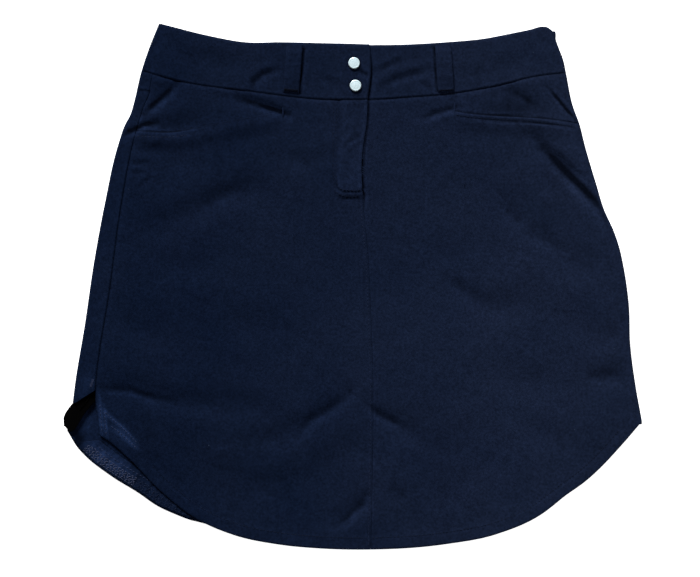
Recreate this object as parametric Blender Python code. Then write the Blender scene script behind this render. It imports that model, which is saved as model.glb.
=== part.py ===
"""A golf skort laid flat on its back, fly and snaps upwards.

The tables are in millimetres: x runs to the viewer's right, y towards the waist, z up from the
surface that the skort lies on. Left and right are the viewer's. Each cloth piece is a sheet of
section points, from edge to edge and round the side fold where it has one, given its thickness
by a Solidify modifier.
"""

import math
from collections import namedtuple

import bmesh
import bpy
import numpy as np

MM = 0.001

# Cloth and seams
CLOTH = 1.0  # thickness of the skirt's cloth
BAND = 1.6  # thickness of the waistband, two layers and its stiffening
KNIT = 1.0  # thickness of the inner short's knit
SEAM = 0.3  # gap between two pieces at their seam
HALF = SEAM / 2

# Heights of the outer surface over the floor
FOLD_TOP = 5.2  # on top of the side folds
WAIST_TOP = 6.4  # front cloth at the waistband seam
BODY_TOP = 7.0  # front cloth over the inner short
HEM_TOP = 3.8  # front cloth where only the back lies under it
BAND_TOP = 6.6  # front waistband
BODY_RELIEF = 1.7  # the most that a fold lifts or sinks the front
HEM_RELIEF = 1.0  # the same, near the hem
TURN = FOLD_TOP / 2  # radius of the side folds
FOLD_REACH = 20  # the cloth is level this far from a side fold
WAIST_REACH = 60  # and this far below the waistband seam
STEP_FOOT = -186  # y of the foot of the front's slope, down from the inner short's hem
STEP_LENGTH = 80  # length of that slope

# The inner short lies between the back and the front
SHORT_FLOOR = CLOTH + SEAM
SHORT_HEIGHT = 2.5  # both of its layers

# Edges that lie over one another
UNDERLAP = 23  # waistband, under the snaps
BAND_LIFT = 0.6  # overlap of the waistband, raised
BAND_DIP = 1.4  # underlap of the waistband, lowered
FLY_LIFT = 1.35  # fly, raised over its underlap and the zip
FLY_UNDERLAP = 9
FLY_WIDTH = 27  # from the fly edge to the J-shaped stitching
FLY_FOOT = 87  # y of the fly's lower end
CALM_MIDDLE, CALM_HALF, CALM_FOOT = 6, 32, 70  # x, half width and lowest y of the stiff, foldless fly
POCKET_LIFT = 1.5  # front cloth at the pocket mouth, over the hip piece
POCKET_UNDER = 4  # how far the hip piece runs on under the mouth
POCKET_CLOSES = 24  # the hip piece is sewn to the front edge to edge, this far from the side
SIDE_ALLOWANCE = 18  # from the right fold to the side seam under it
TUCK = 1.2  # how far the back's edges lie inside the front's

LIE = 0.4  # gap under what lies on the waistband

TURN_STEPS = 6
BACK_COLUMNS = 28
CROWD = 1.4  # the back's columns lie closer together at the left, round the vent
LEG_ROWS = 26

# Outline of the side folds, (y, x)
LEFT_FOLD = (
    (-105, -251.6), (-88, -249.8), (-34, -240.8), (20, -232.7), (74, -222.8), (128, -211.0),
    (146, -204.8), (155, -199.4), (164, -196.7), (194, -189.0), (236, -173.8),
)
RIGHT_FOLD = (
    (-121, 259.7), (-88, 253.4), (-52, 249.2), (-16, 248.0), (20, 242.6), (56, 230.9),
    (92, 219.2), (128, 208.4), (146, 203.9), (164, 196.7), (191, 191.3), (227, 183.2), (236, 180.5),
)

# Waistband: upper edge and seam, (x, y)
BAND_EDGE = (
    (-174, 237.0), (-133, 226.4), (-94, 219.2), (-22, 218.5), (38, 216.6), (84, 218.7),
    (117, 222.1), (146, 227.9), (173, 234.3), (184, 227.3),
)
BAND_SEAM = (
    (-190, 194.0), (-151, 183.5), (-97, 176.0), (-28, 168.2), (16, 168.0), (52, 170.1),
    (78, 172.1), (126, 179.6), (164, 188.6), (192, 192.2),
)
YOKE_SEAM = ((-200, 176.5), (-110, 150), (0, 130), (110, 150), (200, 172))

# Fly edge and centre-front seam, side seam with the vent edge below it, (y, x)
CENTRE = (
    (-236.3, 15.4), (-160, 17.1), (-117, 18.5), (-73, 17.6), (-30, 15.4), (35, 13.0), (61, 10.0),
    (87, 9.5), (127, 10.4), (145, 12.8), (168, 14.0), (178, 15.4), (196, 17.2), (217, 15.4),
)
SIDE_SEAM = (
    (-133.5, -227.0), (-100, -230.9), (-93, -230.9), (-1, -217.8), (75, -207.5), (129, -197.2),
    (157, -189.0), (192, -180.5),
)
VENT_TOP = -93.0
VENT_FOLD = -105.0  # where the vent's back edge meets the fold

# Pocket mouths, (x, y), and the short seam at the inner end of each
LEFT_MOUTH = ((-192, 140.5), (-164, 139.5), (-137, 143.6), (-110, 149.0), (-74, 155.3), (-61, 157.6))
RIGHT_MOUTH = ((91, 158.3), (98, 157.0), (121, 154.4), (163, 152.1), (201, 147.5))
LEFT_POCKET_END = -61.7
RIGHT_POCKET_END = 91.5

# Hems, (x, y)
FRONT_HEM = (
    (-227, -133.5), (-202, -154.5), (-177, -180.5), (-146, -205.5), (-108, -222.8),
    (-67, -231.8), (16, -236.2), (84, -231.4), (129, -222.8), (170, -204.8), (193, -187.0),
    (210, -175.2), (221, -165.5), (241, -143.8), (259.7, -121.0),
)
BACK_HEM_LEFT = (
    (-256, -130.0), (-249, -143.0), (-242, -150.8), (-220, -168.8), (-191, -187.4),
    (-178, -196.2), (-159, -204.8), (-134, -214.6),
)
BACK_EDGE = ((-130, -256.0), (-118, -254.5), (-105, -249.0))  # from the fold to the hem, (y, x)
HEM_JOIN = -134  # left of it the inside of the back shows below the front

# Folds of the front. path: (x, y) points; width: half of the trough's; depth: of the trough, or
# height if negative; roll: height of the soft ridge beside it, on the left of the path if positive
Fold = namedtuple("Fold", "path width depth roll")
FOLD_END = 0.35  # share of its depth that a fold keeps at its ends
FOLDS = (
    Fold(((160, 136), (189, 106), (208, 89), (229, 63)), 8, 1.9, 0.9),
    Fold(((150, 65), (182, 35), (199, 24), (234, 9)), 13, 1.0, -0.6),
    Fold(((79, 15), (116, -15), (165, -19)), 16, 0.9, 0.6),
    Fold(((205, -83), (250, -78)), 10, 0.9, 0.4),
    Fold(((140, 179), (162, 167)), 8, 0.7, 0.3),
    Fold(((178, 177), (186, 169), (200, 150)), 7, 0.8, 0.3),
    Fold(((-160, 184), (-171, 171), (-189, 158)), 8, 1.3, 0.6),
    Fold(((-196, 141), (-181, 147), (-126, 146)), 8, 1.1, -0.4),
    Fold(((-108, 171), (-84, 163), (-60, 156)), 8, 1.3, 0.6),
    Fold(((-133, 79), (-108, 87), (-69, 89)), 16, 1.1, 0.5),
    Fold(((-228, -93), (-196, -93), (-159, -104), (-102, -101)), 11, 1.3, 0.8),
    Fold(((-2, -97), (-41, -123), (-84, -151)), 11, 1.2, 0.7),
    Fold(((16, -108), (39, -123), (66, -142)), 10, 1.1, -0.7),
    Fold(((11, -197), (-9, -209), (-22, -222)), 9, 0.8, 0.4),
    Fold(((33, -177), (52, -193)), 10, 0.6, 0.3),
)
# Broad swells of the front: centre, reach along x and y, and height
Swell = namedtuple("Swell", "x y reach_x reach_y height")
SWELLS = (
    Swell(-150, 20, 60, 90, 0.6),
    Swell(-60, -30, 55, 80, -0.4),
    Swell(60, 70, 55, 60, 0.5),
    Swell(110, -90, 70, 60, 0.6),
    Swell(190, 120, 35, 35, 0.5),
    Swell(28, -165, 30, 30, 0.9),
    Swell(-150, -150, 45, 35, 0.5),
)
BAND_CREASE = Fold(((-90, 179), (-84, 188), (-75, 195)), 6, 0.7, 0.4)

# Belt loops: upper and lower end of the middle line, (x, y)
Loop = namedtuple("Loop", "name upper lower")
LOOPS = (
    Loop("belt_loop_left", (-52.8, 213.5), (-55.3, 174.2)),
    Loop("belt_loop_right", (81.2, 216.0), (83.8, 175.0)),
)
LOOP_WIDTH = 14.5
LOOP_THICK = 1.4
LOOP_ARCH = 1.7  # how far the middle of a loop stands off the band
LOOP_RISE = 0.3  # share of its length in which it rises from each end

# Snaps: centres on the overlap, and half of the cap's turned section, (radius, height)
SNAPS = (("snap_upper", 1.4, 200.7), ("snap_lower", 2.7, 180.5))
SNAP_SECTION = ((0, 0), (4.7, 0), (5.25, 0.5), (5.25, 1.0), (4.7, 1.6), (3.9, 1.75), (3.4, 1.45), (0, 1.7))
SNAP_SIDES = 28

# Fly zip: a tape under the fly
ZIP_LEFT, ZIP_RIGHT = -6, 18
ZIP_UPPER, ZIP_LOWER = 163, 90
ZIP_TOP = 5.1
ZIP_THICK = 0.8

# Inner short: outer side of the left leg, (y, x), lower edge of the left leg, (x, y)
LEG_SIDE = (
    (-124, -259.7), (-115, -258.6), (-109, -256.5), (-103, -246.5), (-88, -242.5), (20, -226.0),
    (74, -216.0), (128, -204.0), (164, -190.0), (190, -182.5),
)
LEG_HEM = (
    (-259.7, -124.0), (-255, -129.5), (-241, -113.5), (-231, -102.0), (-212, -96.0), (-150, -95.0),
    (20, -95.0),
)
RIGHT_LEG_INSET = 8  # the right leg's side, from the right fold
RIGHT_LEG_HEM = -95
CROTCH = -20  # y of the fork
FORK_X = 12  # x of the seam between the legs
LEG_PART = 10  # gap between the legs at the hem
SHORT_DROP = 4  # from the waistband seam to the short's upper edge

# Turned-up hem inside the back, where it shows
TURN_UP_WIDTH = 18
TURN_UP_FROM, TURN_UP_TO = -247, -140

# Materials: base colour, roughness, metallic
CLOTH_LOOK = ("skirt_cloth", (0.0065, 0.0116, 0.0262), 0.85, 0.0)
KNIT_LOOK = ("short_knit", (0.002, 0.002, 0.0024), 0.9, 0.0)
SNAP_LOOK = ("snap_metal", (0.74, 0.84, 0.88), 0.3, 0.6)
TAPE_LOOK = ("zip_tape", (0.006, 0.010, 0.022), 0.7, 0.0)


def curve(table):
    """A smooth rule through a table's pairs, level beyond its ends."""
    place, value = np.array(table, float).T
    slope = np.gradient(value, place)

    def rule(at):
        at = np.clip(at, place[0], place[-1])
        i = np.clip(np.searchsorted(place, at) - 1, 0, len(place) - 2)
        step = place[i + 1] - place[i]
        s = (at - place[i]) / step
        ahead = s * s * (3 - 2 * s)
        bend = s * (1 - s) * step * ((1 - s) * slope[i] - s * slope[i + 1])
        return value[i] * (1 - ahead) + value[i + 1] * ahead + bend

    return rule


left_fold = curve(LEFT_FOLD)
right_fold = curve(RIGHT_FOLD)
band_edge = curve(BAND_EDGE)
band_seam = curve(BAND_SEAM)
yoke_seam = curve(YOKE_SEAM)
centre = curve(CENTRE)
side_seam = curve(SIDE_SEAM)
left_mouth = curve(LEFT_MOUTH)
right_mouth = curve(RIGHT_MOUTH)
front_hem = curve(FRONT_HEM)
back_hem_left = curve(BACK_HEM_LEFT)
back_edge = curve(BACK_EDGE)
leg_side = curve(LEG_SIDE)
leg_hem = curve(LEG_HEM)


def ease(value):
    """0 below 0, 1 above 1, and a soft step between."""
    s = np.clip(value, 0, 1)
    return s * s * (3 - 2 * s)


def beside(path, x, y):
    """Distance of each point from a path, the side it lies on, and how far along it is, 0 to 1."""
    path = np.array(path, float)
    lengths = np.linalg.norm(np.diff(path, axis=0), axis=1)
    before = np.concatenate([[0], np.cumsum(lengths)])
    nearest = np.full(np.shape(x), np.inf)
    side = np.zeros(np.shape(x))
    along = np.zeros(np.shape(x))
    for start, end, length, passed in zip(path[:-1], path[1:], lengths, before):
        way = (end - start) / length
        run = np.clip((x - start[0]) * way[0] + (y - start[1]) * way[1], 0, length)
        off_x = x - start[0] - run * way[0]
        off_y = y - start[1] - run * way[1]
        away = np.hypot(off_x, off_y)
        closer = away < nearest
        nearest = np.where(closer, away, nearest)
        side = np.where(closer, np.sign(way[0] * off_y - way[1] * off_x), side)
        along = np.where(closer, (passed + run) / before[-1], along)
    return nearest, side, along


def fold_height(fold, x, y):
    """The trough of one fold, with the soft ridge beside it."""
    away, side, along = beside(fold.path, x, y)
    fade = FOLD_END + (1 - FOLD_END) * ease(along / 0.3) * ease((1 - along) / 0.3)
    trough = -fold.depth * np.exp(-((away / fold.width) ** 2))
    signed = away * side * np.sign(fold.roll)
    ridge = abs(fold.roll) * np.exp(-(((signed - 1.9 * fold.width) / (1.2 * fold.width)) ** 2))
    return fade * (trough + ridge)


def relief(x, y):
    """Folds and swells together, calm round the fly and limited to the room between the layers."""
    total = sum(fold_height(fold, x, y) for fold in FOLDS)
    for swell in SWELLS:
        reach = ((x - swell.x) / swell.reach_x) ** 2 + ((y - swell.y) / swell.reach_y) ** 2
        total = total + swell.height * np.exp(-reach)
    most = HEM_RELIEF + (BODY_RELIEF - HEM_RELIEF) * ease((y - STEP_FOOT) / STEP_LENGTH)
    fly = ease((CALM_HALF - np.abs(x - CALM_MIDDLE)) / 12) * ease((y - CALM_FOOT) / 15)
    hem = 0.35 + 0.65 * ease((y - front_hem(x)) / 25)
    return most * np.tanh(total / most) * (1 - fly) * hem


def step_foot(x):
    """Where the front has come down off the inner short's hem, a little uneven from side to side."""
    return STEP_FOOT + 7 * np.sin(x / 38 + 0.6) - 4 * np.sin(x / 23)


def front_top(x, y):
    """Outer surface of the front, down to the side folds."""
    body = WAIST_TOP + (BODY_TOP - WAIST_TOP) * ease((band_seam(x) - y) / WAIST_REACH)
    level = HEM_TOP + (body - HEM_TOP) * ease((y - step_foot(x)) / STEP_LENGTH) + relief(x, y)
    edge = np.minimum(x - left_fold(y), right_fold(y) - x) - TURN
    return FOLD_TOP + (level - FOLD_TOP) * ease(edge / FOLD_REACH)


def fly_lift(x, y):
    """How far the fly stands over its underlap, inside its J-shaped stitching."""
    inside = centre(y) - x
    across = ease((FLY_WIDTH - inside) / 9)
    return FLY_LIFT * across * ease((y - FLY_FOOT + 9) / 7)


def mouth_lift(x, y):
    """How far the front's edge stands over the hip pieces at the two pocket mouths."""
    left = ease((LEFT_POCKET_END + 10 - x) / 10) * ease((x - side_seam(y)) / 22)
    right = ease((x - RIGHT_POCKET_END + 10) / 10) * ease((right_fold(y) - x - 6) / 20)
    below_left = np.maximum(left_mouth(x) - y, 0)
    below_right = np.maximum(right_mouth(x) - y, 0)
    left = left * (1 - ease((below_left - POCKET_UNDER - 1.5) / 14))
    right = right * (1 - ease((below_right - POCKET_UNDER - 1.5) / 14))
    return POCKET_LIFT * (left + right)


def front_left_top(x, y):
    return front_top(x, y) + mouth_lift(x, y) + fly_lift(x, y)


def front_right_top(x, y):
    return front_top(x, y) + mouth_lift(x, y)


def band_top(x, y):
    """Outer surface of the front waistband, without overlap and underlap."""
    edge = np.minimum(x - left_fold(y), right_fold(y) - x) - TURN
    return FOLD_TOP + (BAND_TOP + fold_height(BAND_CREASE, x, y) - FOLD_TOP) * ease(edge / FOLD_REACH)


def band_left_top(x, y):
    return band_top(x, y) + BAND_LIFT * ease((x - centre(y) + UNDERLAP + 10) / 9)


def band_right_top(x, y):
    return band_top(x, y) - BAND_DIP * ease((centre(y) + 8 - x) / 7)


def spaced(start, end, count):
    return np.linspace(start, end, count + 1)


def corner(x_rule, y_rule, y):
    """The point where an upright edge, x of y, crosses a level one, y of x."""
    for _ in range(40):
        x = x_rule(y)
        y = y_rule(x)
    return float(x), float(y)


def plan(top, bottom, left, right, columns, rows, step=None, crowd=1.0):
    """Points across a four-sided piece, row by row: top and bottom are y of x, left and right x of y.

    step is the x of a short upright jog in the top edge, and gets a column on either side. crowd
    over 1 puts the columns closer together towards the left.
    """
    shares = spaced(0, 1, columns) ** crowd
    a, b = corner(left, top, 150), corner(right, top, 150)
    c, d = corner(left, bottom, -100), corner(right, bottom, -100)
    if step is None:
        top_x = a[0] + (b[0] - a[0]) * shares
    else:
        first = round((columns - 1) * (step - a[0]) / (b[0] - a[0]))
        upto = spaced(a[0], step - HALF, first)
        beyond = spaced(step + HALF, b[0], columns - 1 - first)
        top_x = np.concatenate([upto, beyond])
    low_x = c[0] + (d[0] - c[0]) * shares
    left_y = spaced(a[1], c[1], rows)
    right_y = spaced(b[1], d[1], rows)
    upper = np.stack([top_x, top(top_x)], axis=1)[None]
    lower = np.stack([low_x, bottom(low_x)], axis=1)[None]
    first = np.stack([left(left_y), left_y], axis=1)[:, None]
    last = np.stack([right(right_y), right_y], axis=1)[:, None]
    u = shares[None, :, None]
    v = spaced(0, 1, rows)[:, None, None]
    across = (1 - u) * first + u * last
    down = (1 - v) * upper + v * lower
    corners = (1 - v) * ((1 - u) * a + u * np.array(b)) + v * ((1 - u) * c + u * np.array(d))
    return across + down - corners


def raised(points, height):
    """A plan with its heights, from a rule of x and y or one number."""
    x, y = points[..., 0], points[..., 1]
    z = height(x, y) if callable(height) else np.full(x.shape, float(height))
    return np.stack([x, y, z], axis=-1)


def turned(edge, side, angles):
    """Columns round a side fold: 0 is on top, pi on the floor; side is 1 at the right, -1 at the left."""
    columns = []
    for angle in angles:
        x = edge[:, 0] + side * TURN * math.sin(angle)
        z = np.full(len(edge), TURN + TURN * math.cos(angle))
        columns.append(np.stack([x, edge[:, 1], z], axis=1))
    return np.stack(columns, axis=1)


def turned_under(sheet, width, upper_shift, lower_shift):
    """The sheet, taken round the right fold and on over the floor. The shifts move its upper and
    lower edge there along y."""
    edge = sheet[:, -1]
    bend = turned(edge, 1, spaced(0, math.pi, TURN_STEPS)[1:])
    down = spaced(0, 1, len(edge) - 1)
    strip = []
    for share in (0.5, 1):
        x = edge[:, 0] + TURN - share * width
        shift = upper_shift * (1 - down) ** 6 + lower_shift * down**6
        strip.append(np.stack([x, edge[:, 1] + share * shift, np.zeros(len(edge))], axis=1))
    return np.concatenate([sheet, bend, np.stack(strip, axis=1)], axis=1)


def material(look):
    name, colour, roughness, metallic = look
    made = bpy.data.materials.get(name)
    if made is None:
        made = bpy.data.materials.new(name)
        made.use_nodes = True
        shader = made.node_tree.nodes["Principled BSDF"]
        shader.inputs["Base Color"].default_value = (*colour, 1)
        shader.inputs["Roughness"].default_value = roughness
        shader.inputs["Metallic"].default_value = metallic
    return made


def add_object(name, mesh, look):
    piece = bpy.data.objects.new(name, mesh)
    bpy.context.scene.collection.objects.link(piece)
    mesh.materials.append(material(look))
    mesh.shade_smooth()
    mesh.set_sharp_from_angle(angle=math.radians(40))
    return piece


def cloth(name, sheet, thick, look, ring=False, leave_out=None):
    """A wall of cloth from rows of outer points. ring joins the last column to the first one, and
    leave_out(row, column) is true for a cell that the piece hasn't."""
    rows, columns = sheet.shape[:2]
    shape = bmesh.new()
    points = {}

    def point(row, column):
        key = (row, column % columns if ring else column)
        if key not in points:
            points[key] = shape.verts.new(sheet[key] * MM)
        return points[key]

    for row in range(rows - 1):
        for column in range(columns if ring else columns - 1):
            if leave_out and leave_out(row, column):
                continue
            shape.faces.new(
                (
                    point(row, column),
                    point(row + 1, column),
                    point(row + 1, column + 1),
                    point(row, column + 1),
                )
            )
    mesh = bpy.data.meshes.new(name)
    shape.to_mesh(mesh)
    shape.free()
    piece = add_object(name, mesh, look)
    wall = piece.modifiers.new("wall", "SOLIDIFY")
    wall.thickness = thick * MM
    wall.offset = -1
    return piece


def below(rule, gap):
    """An edge's rule, moved down by a gap."""
    return lambda at: rule(at) - gap


def left_tangent(y):
    return left_fold(y) + TURN


def right_tangent(y):
    return right_fold(y) - TURN


def make_front_left():
    def upper_edge(x):
        beyond = x < LEFT_POCKET_END
        return np.where(beyond, left_mouth(x), band_seam(x)) - HALF

    def left_edge(y):
        return side_seam(y) + HALF

    def right_edge(y):
        return centre(y) - HALF

    flat = plan(upper_edge, front_hem, left_edge, right_edge, 24, 34, LEFT_POCKET_END)
    return cloth("front_left", raised(flat, front_left_top), CLOTH, CLOTH_LOOK)


def fly_underlap(y):
    """The right front's inner edge: under the fly, then along the centre-front seam."""
    return centre(y) + HALF - (FLY_UNDERLAP + SEAM) * ease((y - FLY_FOOT - 10) / 14)


def make_front_right():
    def upper_edge(x):
        beyond = x > RIGHT_POCKET_END
        return np.where(beyond, right_mouth(x), band_seam(x)) - HALF

    flat = plan(upper_edge, front_hem, fly_underlap, right_tangent, 24, 34, RIGHT_POCKET_END)
    sheet = turned_under(raised(flat, front_right_top), SIDE_ALLOWANCE, 0, 9)
    return cloth("front_right", sheet, CLOTH, CLOTH_LOOK)


def mouth_under(x, mouth, outer):
    """Lower edge of a hip piece: under the pocket mouth, and back to a plain seam at the side."""
    return mouth(x) + HALF - (POCKET_UNDER + SEAM) * ease((np.abs(outer - x) - POCKET_CLOSES) / 14)


def make_pocket_side_left():
    def lower_edge(x):
        seam = left_mouth(x) + HALF
        inner = ease((LEFT_POCKET_END - x - 1) / 6)
        return seam + inner * (mouth_under(x, left_mouth, -192) - seam)

    flat = plan(
        below(band_seam, HALF),
        lower_edge,
        lambda y: side_seam(y) + HALF,
        lambda y: np.full(np.shape(y), LEFT_POCKET_END - HALF),
        14,
        5,
    )
    return cloth("pocket_side_left", raised(flat, front_top), CLOTH, CLOTH_LOOK)


def make_pocket_side_right():
    flat = plan(
        below(band_seam, HALF),
        lambda x: mouth_under(x, right_mouth, 201),
        lambda y: np.full(np.shape(y), RIGHT_POCKET_END + HALF),
        right_tangent,
        12,
        5,
    )
    sheet = turned_under(raised(flat, front_top), SIDE_ALLOWANCE, 0, 0)
    return cloth("pocket_side_right", sheet, CLOTH, CLOTH_LOOK)


def floor_then_strip(floor, strip):
    """Floor points from right to left, round the left fold, and the strip on top up to its seam."""
    bend = turned(strip[:, 0], -1, spaced(math.pi, 0, TURN_STEPS)[1:-1])
    return np.concatenate([floor, bend, strip], axis=1)


def floor_right(y):
    """The back's right edge, at the side seam under the right fold."""
    vent = 3 * ease((VENT_TOP - y) / 40)
    return right_fold(y) - SIDE_ALLOWANCE - SEAM - vent


def back_hem(x):
    tucked = front_hem(x) + TUCK * ease((x - HEM_JOIN) / 30)
    return np.where(x < HEM_JOIN, back_hem_left(x), tucked)


def make_back_yoke():
    floor = plan(
        below(band_seam, HALF), yoke_seam, left_tangent, floor_right, BACK_COLUMNS, 3, crowd=CROWD
    )

    strip = plan(
        below(band_seam, HALF), yoke_seam, left_tangent, below(side_seam, HALF), 2, 3
    )
    sheet = floor_then_strip(raised(floor[:, ::-1], 0), raised(strip, front_top))
    return cloth("back_yoke", sheet, CLOTH, CLOTH_LOOK)


def make_back_panel():
    upper_rows, lower_rows = 22, 8

    def vent_line(x):
        """The vent's back edge, from the side seam out to the fold."""
        return VENT_TOP + (VENT_FOLD - VENT_TOP) * ease((side_seam(VENT_TOP) - x) / 19)

    def level(x):
        return np.full(np.shape(x), VENT_FOLD)

    top = below(yoke_seam, SEAM)
    floor = plan(
        top, level, left_tangent, floor_right, BACK_COLUMNS, upper_rows, crowd=CROWD
    )[:, ::-1]
    strip = plan(top, vent_line, left_tangent, below(side_seam, HALF), 2, upper_rows)
    rolled = floor_then_strip(raised(floor, 0), raised(strip, front_top))
    tail = plan(
        level, back_hem, back_edge, floor_right, BACK_COLUMNS, lower_rows, crowd=CROWD
    )[1:, ::-1]
    spare = np.zeros((lower_rows, rolled.shape[1] - tail.shape[1], 3))
    tail = np.concatenate([raised(tail, 0), spare], axis=1)
    sheet = np.concatenate([rolled, tail])
    return cloth(
        "back_panel",
        sheet,
        CLOTH,
        CLOTH_LOOK,
        leave_out=lambda row, column: row >= upper_rows and column >= BACK_COLUMNS,
    )


def make_band_left():
    """Front waistband with the overlap, round the left fold to its hidden end on the floor."""
    floor = plan(
        below(band_edge, TUCK),
        below(band_seam, -HALF),
        left_tangent,
        lambda y: left_fold(y) + SIDE_ALLOWANCE,
        2,
        4,
    )[:, ::-1]
    front = plan(band_edge, below(band_seam, -HALF), left_tangent, centre, 22, 4)
    bend = turned(front[:, 0], -1, spaced(math.pi, 0, TURN_STEPS)[1:-1])
    floor[:, -1] = front[:, 0]
    sheet = np.concatenate([raised(floor, 0), bend, raised(front, band_left_top)], axis=1)
    return cloth("band_left", sheet, BAND, CLOTH_LOOK)


def make_band_right():
    """Front waistband with the underlap, round the right fold to its hidden end on the floor."""
    front = plan(
        below(band_edge, 0.4),
        below(band_seam, -HALF),
        lambda y: centre(y) - UNDERLAP,
        right_tangent,
        24,
        4,
    )
    sheet = turned_under(raised(front, band_right_top), SIDE_ALLOWANCE, -TUCK, 0)
    return cloth("band_right", sheet, BAND, CLOTH_LOOK)


def make_band_back():
    flat = plan(
        below(band_edge, TUCK),
        below(band_seam, -HALF),
        lambda y: left_fold(y) + SIDE_ALLOWANCE + 2 * SEAM,
        lambda y: right_fold(y) - SIDE_ALLOWANCE - 2 * SEAM,
        BACK_COLUMNS,
        6,
    )[:, ::-1]
    return cloth("band_back", raised(flat, 0), BAND, CLOTH_LOOK)


def make_belt_loop(loop):
    """A strip on the band, pressed down at both ends and arched off it between them."""
    lengths, widths = 10, 3
    upper, lower = np.array(loop.upper), np.array(loop.lower)
    way = (lower - upper) / np.linalg.norm(lower - upper)
    across = np.array([-way[1], way[0]])
    top_rule = band_left_top if loop.upper[0] < 0 else band_right_top
    rows = []
    for run in spaced(0, 1, lengths):
        middle = upper + run * (lower - upper)
        arch = LOOP_ARCH * ease(run / LOOP_RISE) * ease((1 - run) / LOOP_RISE)
        row = []
        for share in spaced(-0.5, 0.5, widths):
            x, y = middle + share * LOOP_WIDTH * across
            row.append((x, y, float(top_rule(x, y)) + LIE + arch + LOOP_THICK))
        rows.append(row)
    return cloth(loop.name, np.array(rows), LOOP_THICK, CLOTH_LOOK)


def make_snap(name, x, y):
    """A cap turned from half of its section, on the overlap."""
    shape = bmesh.new()
    section = [shape.verts.new((radius * MM, 0, height * MM)) for radius, height in SNAP_SECTION]
    edges = [shape.edges.new(pair) for pair in zip(section[:-1], section[1:])]
    bmesh.ops.spin(
        shape,
        geom=section + edges,
        cent=(0, 0, 0),
        axis=(0, 0, 1),
        angle=2 * math.pi,
        steps=SNAP_SIDES,
    )
    bmesh.ops.remove_doubles(shape, verts=shape.verts[:], dist=0.01 * MM)
    bmesh.ops.recalc_face_normals(shape, faces=shape.faces[:])
    mesh = bpy.data.meshes.new(name)
    shape.to_mesh(mesh)
    shape.free()
    piece = add_object(name, mesh, SNAP_LOOK)
    piece.location = (x * MM, y * MM, (float(band_left_top(x, y)) + LIE) * MM)
    return piece


def make_fly_zip():
    flat = plan(
        lambda x: np.full(np.shape(x), ZIP_UPPER),
        lambda x: np.full(np.shape(x), ZIP_LOWER),
        lambda y: np.full(np.shape(y), ZIP_LEFT),
        lambda y: np.full(np.shape(y), ZIP_RIGHT),
        2,
        4,
    )
    return cloth("fly_zip", raised(flat, ZIP_TOP), ZIP_THICK, TAPE_LOOK)


def make_short_leg(name, outer, hem, side):
    """A flat tube from the waist to the leg's hem. outer is the leg's side, x of y; side is -1 for
    the left leg and 1 for the right one."""
    half = SHORT_HEIGHT / 2

    def inner(y):
        part = HALF + LEG_PART / 2 * ease((CROTCH - y) / (CROTCH - hem(0.0)))
        return FORK_X + side * part

    def outer_line(y):
        return outer(y) - side * half

    def inner_line(y):
        return inner(y) + side * half

    waist = below(band_seam, SHORT_DROP)
    left, right = (outer_line, inner_line) if side < 0 else (inner_line, outer_line)
    flat = plan(waist, hem, left, right, 14, LEG_ROWS)
    upper = raised(flat, SHORT_FLOOR + SHORT_HEIGHT)
    lower = raised(flat[:, ::-1], SHORT_FLOOR)
    ends = []
    for edge, way in ((flat[:, -1], 1), (flat[:, 0], -1)):
        columns = []
        for angle in spaced(0, math.pi, 4)[1:-1]:
            x = edge[:, 0] + way * half * math.sin(angle)
            z = np.full(len(edge), SHORT_FLOOR + half + way * half * math.cos(angle))
            columns.append(np.stack([x, edge[:, 1], z], axis=1))
        ends.append(np.stack(columns, axis=1))
    sheet = np.concatenate([upper, ends[0], lower, ends[1]], axis=1)
    return cloth(name, sheet, KNIT, KNIT_LOOK, ring=True)


def make_hem_turn_up():
    """The hem allowance on the inside of the back, from the hem's own points moved inwards."""
    x = spaced(TURN_UP_FROM, TURN_UP_TO, 16)
    y = back_hem(x)
    way = np.stack([np.gradient(x), np.gradient(y)], axis=1)
    way /= np.linalg.norm(way, axis=1)[:, None]
    inwards = np.stack([-way[:, 1], way[:, 0]], axis=1)
    rows = []
    for depth in (TURN_UP_WIDTH, TURN_UP_WIDTH / 2, 1.0):
        line = np.stack([x, y], axis=1) + depth * inwards
        rows.append(line)
    sheet = raised(np.stack(rows), CLOTH + SEAM + CLOTH)
    return cloth("hem_turn_up", sheet, CLOTH, CLOTH_LOOK)


def right_leg_side(y):
    return right_fold(y) - RIGHT_LEG_INSET


def right_leg_hem(x):
    return np.full(np.shape(x), float(RIGHT_LEG_HEM))


def main():
    for found in list(bpy.data.objects):
        bpy.data.objects.remove(found)
    make_front_left()
    make_front_right()
    make_pocket_side_left()
    make_pocket_side_right()
    make_back_yoke()
    make_back_panel()
    make_band_left()
    make_band_right()
    make_band_back()
    for loop in LOOPS:
        make_belt_loop(loop)
    for name, x, y in SNAPS:
        make_snap(name, x, y)
    make_fly_zip()
    make_short_leg("shorts_left", leg_side, leg_hem, -1)
    make_short_leg("shorts_right", right_leg_side, right_leg_hem, 1)
    make_hem_turn_up()


main()
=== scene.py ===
# %% [markdown]
# # A golf skort, laid flat on a table
#
# A skort is a skirt with a pair of shorts sewn inside it. This one lies on its back with the fly
# and the two snaps upwards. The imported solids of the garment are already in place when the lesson
# starts: they give every piece its size and place. Here each piece gets the look of real cloth, as
# a thin shell that follows its solid, with creases, seams and stitching.
#
# Left and right are the viewer's. Lengths in the tables are millimetres: x runs to the right, y
# towards the waist, z up from the table.

# %% Load the solids
import math
from collections import namedtuple

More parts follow.
